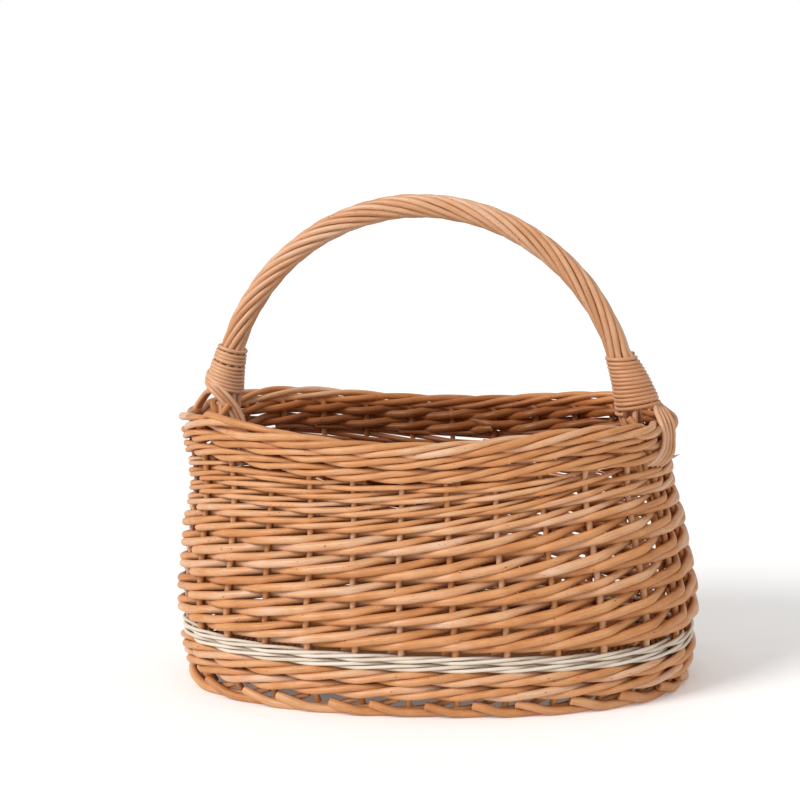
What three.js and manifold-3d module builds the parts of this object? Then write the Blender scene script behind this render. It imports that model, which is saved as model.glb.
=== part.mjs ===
// Oval wicker shopping basket with a fixed roped bow handle.
// Millimetres, +Z up, the foot stands on z = 0 and the long axis is X.
import * as THREE from 'three';
import { mergeVertices } from 'three/addons/utils/BufferGeometryUtils.js';
import Module from 'manifold-3d';

const wasm = await Module();
wasm.setup();

// Oval of the body, measured at the outside of the foot
const FOOT_HALF_LENGTH = 194.5;
const FOOT_HALF_WIDTH = 119.5;
const OVAL_POWER = 2.24;

// Side profile: the wall swells to a belly, draws in and flares again under the rim
const BELLY_Z = 70;
const BELLY_OUT = 10.7;
const RIM_Z = 207;
const RIM_DRAW_IN = 20.5;
const DRAW_IN_POWER = 1.1;
const FLARE_START_Z = 160;
const FLARE_OUT = 9;
const FLARE_POWER = 1.2;
const STAKE_LINE_DEPTH = 7;
const RIM_LEAN_X = -3.4;
const LEAN_POWER = 1.5;

// The rim isn't level: it rises at the ends and the four corners, most at the left
const RIM_END_RISE = 4;
const RIM_CORNER_RISE = 8;
const BODY_TILT = -4;
const TILT_FULL_Z = 35;
const RISE_START_Z = 50;

// Stakes, and the gap kept between rods that touch
const STAKE_COUNT = 28;
const STAKE_RADIUS = 2.3;
const ROD_CLEARANCE = 0.3;
const SEAM_STAKE = 7;

// Side weave: a rod starts behind each stake and climbs a row for each stake that it passes.
// Four neighbours are joined at their butts and make one body.
const BUTT_RADIUS = 2.65;
const TIP_RADIUS = 1.55;
const LAST_THICK_ROW = 12;
const FIRST_FINE_ROW = 19;
const RODS_PER_BODY = 4;
const JOINED_BUTT_RUN = 0.45;
const FREE_BUTT_RUN = 0.2;

// Three-rod wales, each of two rounds: lower wale, white band, upper wale
const WALE_ROUNDS = 2;
const WALE_STRANDS = 3;
const FOOT_TOP_Z = 14;
const LOWER_WALE_ROUND = 11.4;
const WHITE_ROUND = 6.8;
const UPPER_WALE_ROUND = 10.2;

// Rim border, rolled from the stakes' own tips
const BORDER_HALF_WIDTH = 5.2;
const BORDER_HALF_HEIGHT = 2.95;
const BORDER_OUT = 1.5;
const BORDER_SEAT_GAP = 1.1;
const BORDER_TURN_RISE = 1.5;
const BORDER_TURN_OUT = 1;
const TIP_STEPS = 7;
const TIP_STEPS_PER_SPACE = 3;

// Foot border
const FOOT_ROD_RADIUS = 2.6;
const FOOT_CUT = 0.5;
const FOOT_RUN_SPACES = 1.95;
const FOOT_TUCK_SPACES = 0.3;
const FOOT_BEND_SPACES = 0.8;
const FOOT_BEND_OUT = 2.2;
const FOOT_TUCK_Z = 13;
const FOOT_END_Z = 6.4;
const FOOT_END_OUT = 6.6;

// Base
const BASE_BOTTOM_Z = 15.6;
const BASE_THICKNESS = 5.4;
const BASE_DOME = 7;
const BASE_EDGE_IN = 7.4;
const STAKE_FOOT_LENGTH = 26;
const STAKE_FOOT_BEND_IN = 3;
const STAKE_FOOT_RISE = 3;
const STAKE_FOOT_SETTLE_IN = 0.4;
const BASE_RIBS = 4;
const BASE_RIB_HEIGHT = 2.6;
const BASE_SEGMENTS = 16;
const BASE_STICK_RADIUS = 3.4;
const STICK_BITE = 1.6;
const LONG_STICKS = 3;
const LONG_STICK_HALF = 96;
const LONG_STICK_SPACING = 16;
const CROSS_STICKS = 3;
const CROSS_STICK_HALF = 56;
const CROSS_STICK_SPACING = 60;

// Handle bow
const HANDLE_TOP_Z = 380;
const HANDLE_SPRING_Z = RIM_Z;
const HANDLE_END_IN = 33.6;
const HANDLE_HALF_SPAN = FOOT_HALF_LENGTH - HANDLE_END_IN;
const HANDLE_CENTRE_X = -5.3;
const HANDLE_ROPE_RADIUS = 9.3;
const HANDLE_RISE = HANDLE_TOP_Z - HANDLE_ROPE_RADIUS - HANDLE_SPRING_Z;
const BOW_RADIUS = 4.2;
const BOW_SIDES = 6;
const LEG_LEVELS = [172, 142, 112];
const LEFT_STAKE = STAKE_COUNT / 2;
const RIGHT_STAKE = STAKE_COUNT;

// Roping round the bow
const ROPE_STRANDS = 9;
const ROPE_ROD_RADIUS = 2.1;
const ROPE_RING_RADIUS = HANDLE_ROPE_RADIUS - ROPE_ROD_RADIUS;
const ROPE_START_ANGLE = Math.PI / 3;
const ROPE_TWIST_STEPS = 25;
const OUTER_TAILS = 4;
const TAIL_BEND_Z = 191;
const TAIL_END_Z = 181;
const TAIL_SPACING = 4.7;
const TAIL_ROOM = 1.1;
const TAIL_CLEAR = 4;
const SHOULDER_DEGREES = 55;
const INNER_TAIL_SHARE = 0.3;

// Bindings where the bow meets the rim. The right one leans outwards as it widens.
const BINDING_ROD_RADIUS = 1.2;
const BINDINGS = {
  left: { lowZ: 230, highZ: 264, lowRing: 11.0, lowLean: 0, turns: 11 },
  right: { lowZ: 216, highZ: 256, lowRing: 12.6, lowLean: 4.6, turns: 13 },
};

// Facets
const ROD_SIDES = 4;
const WEAVE_ROD_SIDES = 3;
const CANE_SIDES = 3;
const OVAL_STEPS = 720;
const BINDING_STEPS = 8;
const ARCH_STEPS = 26;
const WELD_DISTANCE = 1e-3;

// Finishes
const WILLOW = { color: 0xc68c58, roughness: 0.5 };
const WILLOW_DARK = { color: 0xb57a48, roughness: 0.52 };
const WILLOW_PALE = { color: 0xd09a68, roughness: 0.45 };
const WHITE_CANE = { color: 0xe8decb, roughness: 0.55 };

const STAKE_PITCH_ANGLES = evenOvalAngles();
const BAND_START_Z = FOOT_TOP_Z + WALE_ROUNDS * LOWER_WALE_ROUND + ROD_CLEARANCE;
const WEAVE_START_Z = BAND_START_Z + WALE_ROUNDS * WHITE_ROUND + ROD_CLEARANCE;
const BORDER_CENTRE_Z = RIM_Z - BORDER_HALF_HEIGHT - STAKE_RADIUS;
const UPPER_WALE_TOP_Z = RIM_Z - 2 * (BORDER_HALF_HEIGHT + STAKE_RADIUS) - BORDER_SEAT_GAP;
const WEAVE_END_Z = UPPER_WALE_TOP_Z - WALE_ROUNDS * UPPER_WALE_ROUND - ROD_CLEARANCE;

// Levels between which each stake runs straight
const STAKE_BEND_Z = UPPER_WALE_TOP_Z + 0.8;
const STAKE_LEVELS = [19, 46, 78, 116, 158, 178, STAKE_BEND_Z];

const basket = new THREE.Group();
basket.name = 'wicker_shopping_basket';

// Signed power, the term of a superellipse
function signedPower(value, power) {
  return Math.sign(value) * Math.abs(value) ** power;
}

function ovalPoint(halfLength, halfWidth, angle) {
  return [
    halfLength * signedPower(Math.cos(angle), 2 / OVAL_POWER),
    halfWidth * signedPower(Math.sin(angle), 2 / OVAL_POWER),
  ];
}

// Angles that divide the belly's outline into equal lengths, one for each stake
function evenOvalAngles() {
  const a = FOOT_HALF_LENGTH + BELLY_OUT;
  const b = FOOT_HALF_WIDTH + BELLY_OUT;
  const lengths = [0];
  let last = ovalPoint(a, b, 0);
  for (let i = 1; i <= OVAL_STEPS; i += 1) {
    const next = ovalPoint(a, b, (2 * Math.PI * i) / OVAL_STEPS);
    lengths.push(lengths[i - 1] + Math.hypot(next[0] - last[0], next[1] - last[1]));
    last = next;
  }
  const angles = [];
  let i = 0;
  for (let k = 0; k < STAKE_COUNT; k += 1) {
    const goal = (lengths[OVAL_STEPS] * k) / STAKE_COUNT;
    while (lengths[i + 1] <= goal) {
      i += 1;
    }
    const share = (goal - lengths[i]) / (lengths[i + 1] - lengths[i]);
    angles.push((2 * Math.PI * (i + share)) / OVAL_STEPS);
  }
  return angles;
}

// Angle of a place counted in stake spaces, which may lie between stakes or go round again
function angleAt(stake) {
  const turns = Math.floor(stake / STAKE_COUNT);
  const within = stake - turns * STAKE_COUNT;
  const i = Math.min(Math.floor(within), STAKE_COUNT - 1);
  const start = STAKE_PITCH_ANGLES[i];
  const end = i + 1 < STAKE_COUNT ? STAKE_PITCH_ANGLES[i + 1] : 2 * Math.PI;
  return start + (end - start) * (within - i);
}

// How far the wall lies outside the foot's outline at a height
function wallOffset(z) {
  if (z < BELLY_Z) {
    return BELLY_OUT * (1 - (1 - Math.max(z, 0) / BELLY_Z) ** 3);
  }
  const drawn = ((z - BELLY_Z) / (RIM_Z - BELLY_Z)) ** DRAW_IN_POWER;
  const flare = Math.max(0, (z - FLARE_START_Z) / (BORDER_CENTRE_Z - FLARE_START_Z));
  return BELLY_OUT - RIM_DRAW_IN * drawn + FLARE_OUT * flare ** FLARE_POWER;
}

// Height that a level of the body has at an angle, since the rim rises and the body tilts
function levelHeight(level, angle) {
  const along = Math.cos(angle);
  const corner = Math.sin(2 * angle) ** 2;
  const tilt = BODY_TILT * along * Math.min(level / TILT_FULL_Z, 1);
  const share = Math.max(0, (level - RISE_START_Z) / (RIM_Z - RISE_START_Z));
  return level + tilt + share * (RIM_END_RISE * along * along + RIM_CORNER_RISE * corner);
}

// Point on the wall: stake place, level, and distance outside the stakes' centre line.
// Between two stake levels the wall runs straight, as the stakes do, so the weave lies along them.
function wallPoint(stake, level, out = 0) {
  const i = STAKE_LEVELS.findIndex((top, k) => k > 0 && level >= STAKE_LEVELS[k - 1] && level < top);
  if (i < 0) {
    return curvedWallPoint(stake, level, out);
  }
  const low = STAKE_LEVELS[i - 1];
  const share = (level - low) / (STAKE_LEVELS[i] - low);
  return curvedWallPoint(stake, low, out).lerp(curvedWallPoint(stake, STAKE_LEVELS[i], out), share);
}

// The same point on the wall's true curve
function curvedWallPoint(stake, level, out) {
  const angle = angleAt(stake);
  const z = levelHeight(level, angle);
  const offset = wallOffset(z) - STAKE_LINE_DEPTH + out;
  const [x, y] = ovalPoint(FOOT_HALF_LENGTH + offset, FOOT_HALF_WIDTH + offset, angle);
  return new THREE.Vector3(x + RIM_LEAN_X * (Math.max(z, 0) / RIM_Z) ** LEAN_POWER, y, z);
}

// Route whose corners are the given points, passed one per step
class KnotRoute extends THREE.Curve {
  constructor(points) {
    super();
    this.points = points;
  }

  getPoint(t, target = new THREE.Vector3()) {
    const along = t * (this.points.length - 1);
    const i = Math.min(Math.floor(along), this.points.length - 2);
    return target.lerpVectors(this.points[i], this.points[i + 1], along - i);
  }

  getPointAt(u, target) {
    return this.getPoint(u, target);
  }

  getTangentAt(u, target) {
    return this.getTangent(u, target);
  }
}

// Round rod swept along a route
function rodGeometry(points, radius, sides = ROD_SIDES) {
  const section = new THREE.Shape();
  for (let i = 0; i < sides; i += 1) {
    const turn = (2 * Math.PI * i) / sides - Math.PI / 2;
    const x = radius * Math.cos(turn);
    const y = radius * Math.sin(turn);
    if (i === 0) {
      section.moveTo(x, y);
    } else {
      section.lineTo(x, y);
    }
  }
  section.closePath();
  return new THREE.ExtrudeGeometry(section, {
    steps: points.length - 1,
    curveSegments: 1,
    bevelEnabled: false,
    extrudePath: new KnotRoute(points),
  });
}

function addPiece(name, geometry, finish) {
  const material = new THREE.MeshStandardMaterial({ ...finish, metalness: 0 });
  const piece = new THREE.Mesh(geometry, material);
  piece.name = name;
  basket.add(piece);
  return piece;
}

// Welded solid for a boolean cut or join
function toSolid(geometry) {
  const bare = geometry.clone();
  bare.deleteAttribute('normal');
  bare.deleteAttribute('uv');
  const welded = mergeVertices(bare, WELD_DISTANCE);
  const index = welded.getIndex();
  const triangles = [];
  for (let i = 0; i < index.count; i += 3) {
    const corners = [index.getX(i), index.getX(i + 1), index.getX(i + 2)];
    if (new Set(corners).size === 3) {
      triangles.push(...corners);
    }
  }
  return new wasm.Manifold(new wasm.Mesh({
    numProp: 3,
    vertProperties: new Float32Array(welded.getAttribute('position').array),
    triVerts: new Uint32Array(triangles),
  }));
}

function fromSolid(solid) {
  const mesh = solid.getMesh();
  const geometry = new THREE.BufferGeometry();
  geometry.setAttribute('position', new THREE.BufferAttribute(new Float32Array(mesh.vertProperties), 3));
  geometry.setIndex(new THREE.BufferAttribute(new Uint32Array(mesh.triVerts), 1));
  geometry.computeVertexNormals();
  return geometry;
}

// Everything below the floor plane
function floorBlock() {
  const size = 4 * FOOT_HALF_LENGTH;
  const block = new THREE.BoxGeometry(size, size, size / 10);
  block.translate(0, 0, -size / 20);
  return toSolid(block);
}

// One stake: its foot under the base, its rise through the wall and its tip rolled into the border
function stakePoints(stake) {
  const footZ = BASE_BOTTOM_Z - ROD_CLEARANCE - STAKE_RADIUS;
  const points = [
    wallPoint(stake, footZ, -STAKE_FOOT_LENGTH),
    wallPoint(stake, footZ, -STAKE_FOOT_BEND_IN),
    wallPoint(stake, footZ + STAKE_FOOT_RISE, -STAKE_FOOT_SETTLE_IN),
    ...STAKE_LEVELS.map((level) => wallPoint(stake, level)),
    wallPoint(stake + 0.07, STAKE_BEND_Z + BORDER_TURN_RISE, BORDER_TURN_OUT),
  ];
  for (let i = 1; i <= TIP_STEPS; i += 1) {
    points.push(borderPoint(stake, i / TIP_STEPS_PER_SPACE));
  }
  return points;
}

// Place of a tip in the rolled border: up over the outside, across and down the inside
function borderPoint(stake, space) {
  const roll = -Math.PI / 2 + (space * 2 * Math.PI) / WALE_STRANDS;
  const level = BORDER_CENTRE_Z + BORDER_HALF_HEIGHT * Math.sin(roll);
  return wallPoint(stake + space, level, BORDER_OUT + BORDER_HALF_WIDTH * Math.cos(roll));
}

function addStakes() {
  for (let i = 0; i < STAKE_COUNT; i += 1) {
    addPiece(`stake_${i + 1}`, rodGeometry(stakePoints(i), STAKE_RADIUS), WILLOW);
  }
}

// Height along a rod that goes level round the basket and steps up in its last space
function steppedLevel(count, turnLevels) {
  const turn = Math.floor(count / STAKE_COUNT);
  const within = count - turn * STAKE_COUNT;
  const rise = Math.max(0, within - (STAKE_COUNT - 1));
  const next = turnLevels[Math.min(turn + 1, turnLevels.length - 1)];
  return turnLevels[turn] + (next - turnLevels[turn]) * rise;
}

// Radius of a side rod at a row: thick over the lower rows, then tapering to its fine tip
function rowRadius(row) {
  return THREE.MathUtils.lerp(
    BUTT_RADIUS,
    TIP_RADIUS,
    THREE.MathUtils.smoothstep(row, LAST_THICK_ROW, FIRST_FINE_ROW),
  );
}

// Heights and radii of the rows, which are the same at every stake
function weaveRows() {
  const pitches = [];
  for (let row = 0; row < STAKE_COUNT; row += 1) {
    pitches.push(2 * rowRadius(row) + ROD_CLEARANCE);
  }
  const total = pitches.reduce((sum, pitch) => sum + pitch, 0);
  const spread = (WEAVE_END_Z - WEAVE_START_Z) / total;
  const rows = [];
  let z = WEAVE_START_Z;
  for (const pitch of pitches) {
    const radius = ((pitch - ROD_CLEARANCE) / 2) * Math.min(spread, 1);
    rows.push({ level: z + (pitch * spread) / 2, radius, away: STAKE_RADIUS + radius + ROD_CLEARANCE });
    z += pitch * spread;
  }
  return rows;
}

// Where a side rod is when it passes a stake: behind every third, in front of the two between
function weavePoint(rod, row, rows) {
  const { level, away } = rows[row];
  return wallPoint(rod + row, level, row % 3 === 0 ? -away : away);
}

// One side rod, from its butt to its tip. A joined butt starts inside the rod before it.
function sideRodPoints(rod, rows, joined) {
  const points = [];
  if (joined) {
    const before = weavePoint(rod - 1, 0, rows);
    points.push(before.lerp(weavePoint(rod - 1, 1, rows), 1 - JOINED_BUTT_RUN));
  } else {
    points.push(wallPoint(rod - FREE_BUTT_RUN, rows[0].level, -rows[0].away));
  }
  for (let row = 0; row < rows.length; row += 1) {
    points.push(weavePoint(rod, row, rows));
  }
  return points;
}

// Rod that tapers along its route, its radius given at every point
function taperedRodGeometry(points, radii, sides) {
  const geometry = rodGeometry(points, 1, sides);
  const place = geometry.getAttribute('position');
  const corner = new THREE.Vector3();
  for (let i = 0; i < place.count; i += 1) {
    corner.fromBufferAttribute(place, i);
    let nearest = 0;
    for (let k = 1; k < points.length; k += 1) {
      if (points[k].distanceToSquared(corner) < points[nearest].distanceToSquared(corner)) {
        nearest = k;
      }
    }
    corner.sub(points[nearest]).multiplyScalar(radii[nearest]).add(points[nearest]);
    place.setXYZ(i, corner.x, corner.y, corner.z);
  }
  return geometry;
}

// Side weave of climbing rods, in bodies of four neighbours joined at their butts
function addSideWeave() {
  const rows = weaveRows();
  const radii = [rows[0].radius, ...rows.map((row) => row.radius)];
  for (let first = 0; first < STAKE_COUNT; first += RODS_PER_BODY) {
    let body = null;
    for (let rod = first; rod < first + RODS_PER_BODY; rod += 1) {
      const points = sideRodPoints(rod, rows, rod > first);
      const solid = toSolid(taperedRodGeometry(points, radii, WEAVE_ROD_SIDES));
      body = body ? body.add(solid) : solid;
    }
    addPiece(`side_weave_rods_${first + 1}_to_${first + RODS_PER_BODY}`, fromSolid(body), WILLOW);
  }
}

// Wale: three rods that go round together, each in front of two stakes and behind one
function addWale(name, startZ, roundHeight, finish, sides) {
  const radius = (roundHeight - 3 * ROD_CLEARANCE) / 6;
  const swing = roundHeight / 2 - radius;
  const away = STAKE_RADIUS + radius + ROD_CLEARANCE;
  const turnLevels = [];
  for (let turn = 0; turn < WALE_ROUNDS; turn += 1) {
    turnLevels.push(startZ + (turn + 0.5) * roundHeight);
  }
  for (let strand = 0; strand < WALE_STRANDS; strand += 1) {
    const points = [];
    for (let i = 0; i < WALE_ROUNDS * STAKE_COUNT; i += 1) {
      const phase = (i + WALE_STRANDS - strand) % WALE_STRANDS;
      const level = steppedLevel(i, turnLevels) + swing * [-1, 1, 0][phase];
      points.push(wallPoint(SEAM_STAKE + i, level, phase === 2 ? -away : away));
    }
    addPiece(`${name}_rod_${strand + 1}`, rodGeometry(points, radius, sides), finish);
  }
}

// Foot border: one rod for each stake space, tucked under the wale, bent along the floor, cut outside
function addFootBorder() {
  const radius = FOOT_ROD_RADIUS;
  const floorLevel = radius - FOOT_CUT;
  let border = null;
  for (let i = 0; i < STAKE_COUNT; i += 1) {
    const start = i + 0.5;
    const points = [
      wallPoint(start + FOOT_TUCK_SPACES, FOOT_TUCK_Z, 0),
      wallPoint(start - FOOT_BEND_SPACES, floorLevel, FOOT_BEND_OUT),
      wallPoint(start - FOOT_RUN_SPACES, FOOT_END_Z, FOOT_END_OUT),
    ];
    for (const point of points) {
      point.z = Math.max(point.z, floorLevel);
    }
    const rod = toSolid(rodGeometry(points, radius));
    border = border ? border.add(rod) : rod;
  }
  addPiece('foot_border', fromSolid(border.subtract(floorBlock())), WILLOW_DARK);
}

// Base: a domed oval of close weave, ribbed in rings above, with long and cross sticks beneath
function addBase() {
  const profile = [
    new THREE.Vector2(0, BASE_BOTTOM_Z + BASE_DOME),
    new THREE.Vector2(1, BASE_BOTTOM_Z),
  ];
  for (let i = 2 * BASE_RIBS; i >= 0; i -= 1) {
    const share = i / (2 * BASE_RIBS);
    const furrow = i % 2 === 0 ? BASE_RIB_HEIGHT : 0;
    const top = BASE_BOTTOM_Z + BASE_THICKNESS + BASE_DOME * (1 - share * share) - furrow;
    profile.push(new THREE.Vector2(share, top));
  }
  const mat = new THREE.LatheGeometry(profile, BASE_SEGMENTS);
  mat.rotateX(Math.PI / 2);
  const place = mat.getAttribute('position');
  const inset = wallOffset(BASE_BOTTOM_Z) - STAKE_LINE_DEPTH - BASE_EDGE_IN;
  for (let i = 0; i < place.count; i += 1) {
    const share = Math.hypot(place.getX(i), place.getY(i));
    const angle = Math.atan2(place.getY(i), place.getX(i));
    const a = FOOT_HALF_LENGTH + inset;
    const b = FOOT_HALF_WIDTH + inset;
    const [x, y] = share > 0 ? ovalPoint(a, b, angle) : [0, 0];
    const z = place.getZ(i);
    place.setXYZ(i, share * x, share * y, levelHeight(z, angle) * share + z * (1 - share));
  }
  let base = toSolid(mat);
  for (const stick of baseSticks()) {
    base = base.add(stick);
  }
  addPiece('base', fromSolid(base), WILLOW_DARK);
}

function baseSticks() {
  const z = BASE_BOTTOM_Z + BASE_DOME - BASE_STICK_RADIUS + STICK_BITE;
  const sticks = [];
  for (let i = 0; i < LONG_STICKS; i += 1) {
    const y = (i - (LONG_STICKS - 1) / 2) * LONG_STICK_SPACING;
    const ends = [new THREE.Vector3(-LONG_STICK_HALF, y, z), new THREE.Vector3(LONG_STICK_HALF, y, z)];
    sticks.push(toSolid(rodGeometry(ends, BASE_STICK_RADIUS)));
  }
  for (let i = 0; i < CROSS_STICKS; i += 1) {
    const x = (i - (CROSS_STICKS - 1) / 2) * CROSS_STICK_SPACING;
    const ends = [new THREE.Vector3(x, -CROSS_STICK_HALF, z), new THREE.Vector3(x, CROSS_STICK_HALF, z)];
    sticks.push(toSolid(rodGeometry(ends, BASE_STICK_RADIUS)));
  }
  return sticks;
}

// Station on the bow's arch: its centre, and the direction away from the arch's middle
function archStation(angle, ring, twist) {
  const centre = new THREE.Vector3(
    HANDLE_CENTRE_X + HANDLE_HALF_SPAN * Math.cos(angle),
    0,
    HANDLE_SPRING_Z + HANDLE_RISE * Math.sin(angle),
  );
  const outward = new THREE.Vector3(Math.cos(angle), 0, Math.sin(angle));
  return { centre, outward, ring, twist, lean: ringLean(angle) };
}

// Angle on the arch at a height, on the left or the right side
function archAngle(z, side) {
  const rise = Math.asin((z - HANDLE_SPRING_Z) / HANDLE_RISE);
  return side < 0 ? Math.PI - rise : rise;
}

// Point on a station's ring, at an angle from outward towards the front
function ringPoint(station, angle, radius = station.ring) {
  return station.centre.clone()
    .addScaledVector(station.outward, radius * Math.cos(angle) + station.lean)
    .add(new THREE.Vector3(0, -radius * Math.sin(angle), 0));
}

// How far down a binding an angle on the arch lies: 0 at its top and above, 1 at its foot and below
function bindingShare(angle) {
  const binding = bindingAt(angle);
  const z = HANDLE_SPRING_Z + HANDLE_RISE * Math.sin(angle);
  return THREE.MathUtils.clamp((binding.highZ - z) / (binding.highZ - binding.lowZ), 0, 1);
}

function bindingAt(angle) {
  return Math.cos(angle) < 0 ? BINDINGS.left : BINDINGS.right;
}

// Radius of the ring of rope rods, which opens out towards the foot of each binding
function ringRadius(angle) {
  return THREE.MathUtils.lerp(ROPE_RING_RADIUS, bindingAt(angle).lowRing, bindingShare(angle));
}

// How far the ring's centre lies outside the bow there
function ringLean(angle) {
  return bindingAt(angle).lowLean * bindingShare(angle);
}

// Stations from below the left binding to below the right one, with the rope's twist
function archStations() {
  const start = archAngle(BINDINGS.left.lowZ - TAIL_CLEAR, -1);
  const end = archAngle(BINDINGS.right.lowZ - TAIL_CLEAR, 1);
  const total = (ROPE_TWIST_STEPS * 2 * Math.PI) / ROPE_STRANDS;
  const stations = [];
  for (let i = 0; i <= ARCH_STEPS; i += 1) {
    const share = i / ARCH_STEPS;
    const angle = start + (end - start) * share;
    stations.push(archStation(angle, ringRadius(angle), total * share));
  }
  return stations;
}

// The bow's leg down inside the end wall, from the rim to its cut end
function legPoints(endStake) {
  const seat = -(STAKE_RADIUS + 2 * BUTT_RADIUS + 2 * ROD_CLEARANCE + BOW_RADIUS);
  return LEG_LEVELS.map((level) => {
    const point = wallPoint(endStake, level, seat);
    point.y = 0;
    return point;
  });
}

function addBow(stations) {
  const arch = stations.map((station) => station.centre);
  const left = legPoints(LEFT_STAKE).reverse();
  const right = legPoints(RIGHT_STAKE);
  addPiece('handle_bow', rodGeometry([...left, ...arch, ...right], BOW_RADIUS, BOW_SIDES), WILLOW_PALE);
}

// Tail over the border. On the left it stops on the border's shoulder, and on the right it goes on
// down the outside of the upper wale to its tucked end.
function outerTail(endStake, y) {
  const wide = BORDER_HALF_WIDTH + STAKE_RADIUS + ROPE_ROD_RADIUS + TAIL_ROOM;
  const high = BORDER_HALF_HEIGHT + STAKE_RADIUS + ROPE_ROD_RADIUS + TAIL_ROOM;
  const waleOut = STAKE_RADIUS + UPPER_WALE_ROUND / 3 + ROPE_ROD_RADIUS + ROD_CLEARANCE;
  const right = endStake === RIGHT_STAKE;
  const bends = right ? [90, 45, 0] : [90, SHOULDER_DEGREES];
  const route = bends.map((degrees) => {
    const turn = THREE.MathUtils.degToRad(degrees);
    return [BORDER_CENTRE_Z + high * Math.sin(turn), BORDER_OUT + wide * Math.cos(turn)];
  });
  if (right) {
    route.push([TAIL_BEND_Z, waleOut + 1], [TAIL_END_Z, waleOut]);
  }
  return route.map(([level, out]) => {
    const point = wallPoint(endStake, level, out);
    point.y += y;
    return point;
  });
}

// Tail that stays beside the bow's leg and ends inside the basket
function innerTail(endStake, side, angle, drop) {
  const [seat, next] = legPoints(endStake);
  const outward = new THREE.Vector3(side, 0, 0);
  const springAngle = side < 0 ? Math.PI : 0;
  const spring = archStation(springAngle, ROPE_RING_RADIUS, 0);
  const last = seat.clone().lerp(next, drop);
  return [spring.centre, seat, last].map((centre) => {
    return ringPoint({ centre, outward, lean: 0 }, angle, ROPE_RING_RADIUS);
  });
}

// Tail of one rope rod at one end, by its place in the ring below the binding
function ropeTail(station, side, angle) {
  const endStake = side < 0 ? LEFT_STAKE : RIGHT_STAKE;
  const step = (2 * Math.PI) / ROPE_STRANDS;
  const place = Math.round((angle + ROPE_START_ANGLE) / step);
  const index = ((place % ROPE_STRANDS) + ROPE_STRANDS) % ROPE_STRANDS;
  if (index < OUTER_TAILS) {
    return outerTail(endStake, -(index - (OUTER_TAILS - 1) / 2) * TAIL_SPACING);
  }
  return innerTail(endStake, side, angle, INNER_TAIL_SHARE * ((index % 3) + 1));
}

// Roping: rods that wind together round the bow and part into tails below each binding
function addRoping(stations) {
  const first = stations[0];
  const last = stations[stations.length - 1];
  for (let i = 0; i < ROPE_STRANDS; i += 1) {
    const start = (2 * Math.PI * i) / ROPE_STRANDS - ROPE_START_ANGLE;
    const points = stations.map((station) => ringPoint(station, start + station.twist));
    const leftTail = ropeTail(first, -1, start + first.twist).reverse();
    const rightTail = ropeTail(last, 1, start + last.twist);
    const route = [...leftTail, ...points, ...rightTail];
    addPiece(`handle_rope_rod_${i + 1}`, rodGeometry(route, ROPE_ROD_RADIUS), WILLOW_PALE);
  }
}

// Binding: one rod wound round the roping, wider towards the rim
function addBinding(name, side, binding) {
  const start = archAngle(binding.lowZ, side);
  const end = archAngle(binding.highZ, side);
  const steps = binding.turns * BINDING_STEPS;
  const corner = Math.cos(Math.PI / BINDING_STEPS);
  const points = [];
  for (let i = 0; i <= steps; i += 1) {
    const angle = start + ((end - start) * i) / steps;
    const inner = ringRadius(angle) + ROPE_ROD_RADIUS + ROD_CLEARANCE;
    const radius = (inner + BINDING_ROD_RADIUS) / corner;
    points.push(ringPoint(archStation(angle, radius, 0), (2 * Math.PI * i) / BINDING_STEPS));
  }
  addPiece(name, rodGeometry(points, BINDING_ROD_RADIUS), WILLOW);
  const gap = leastCoilGap(points) - 2 * BINDING_ROD_RADIUS;
  console.log(`${name}: least gap between its turns ${gap.toFixed(2)} mm`);
}

// Least distance between points of a coil that lie more than half a turn apart
function leastCoilGap(points) {
  let least = Infinity;
  for (let i = 0; i < points.length; i += 1) {
    for (let j = i + Math.ceil(BINDING_STEPS / 2); j < points.length; j += 1) {
      least = Math.min(least, points[i].distanceTo(points[j]));
    }
  }
  return least;
}

addStakes();
addSideWeave();
addWale('lower_wale', FOOT_TOP_Z, LOWER_WALE_ROUND, WILLOW_DARK);
addWale('white_band', BAND_START_Z, WHITE_ROUND, WHITE_CANE, CANE_SIDES);
addWale('upper_wale', UPPER_WALE_TOP_Z - WALE_ROUNDS * UPPER_WALE_ROUND, UPPER_WALE_ROUND, WILLOW);
addFootBorder();
addBase();

const stations = archStations();
addBow(stations);
addRoping(stations);
addBinding('left_binding', -1, BINDINGS.left);
addBinding('right_binding', 1, BINDINGS.right);

export default basket;
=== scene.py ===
"""Looks of the wicker shopping basket: every rod is a tapering tube, laid out by stake number and level."""

import math

import bpy
import numpy as np
from mathutils import Matrix, Vector


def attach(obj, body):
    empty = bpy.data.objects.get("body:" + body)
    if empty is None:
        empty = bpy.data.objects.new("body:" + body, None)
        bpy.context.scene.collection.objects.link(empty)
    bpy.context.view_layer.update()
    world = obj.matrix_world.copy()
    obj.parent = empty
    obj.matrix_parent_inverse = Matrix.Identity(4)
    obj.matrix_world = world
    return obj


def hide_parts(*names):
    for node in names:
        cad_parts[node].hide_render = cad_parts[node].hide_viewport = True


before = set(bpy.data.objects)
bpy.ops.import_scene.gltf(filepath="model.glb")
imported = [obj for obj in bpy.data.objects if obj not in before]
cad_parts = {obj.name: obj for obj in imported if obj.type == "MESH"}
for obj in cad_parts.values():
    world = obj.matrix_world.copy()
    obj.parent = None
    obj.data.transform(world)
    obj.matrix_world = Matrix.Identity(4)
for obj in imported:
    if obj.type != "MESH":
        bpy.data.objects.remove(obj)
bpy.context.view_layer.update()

# Sizes are in millimetres. Places along the wall are counted in stakes, from the right-hand end over the back
MM = 0.001

# Sides of the rods' tubes, and points along the oval's outline
ROD_SIDES = 12
THIN_ROD_SIDES = 10
TORN_END_SIDES = 8
BASE_WEAVE_SIDES = 6
BASE_RIB_SIDES = 8
BOW_SIDES = 14
OUTLINE_SAMPLES = 721

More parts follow.
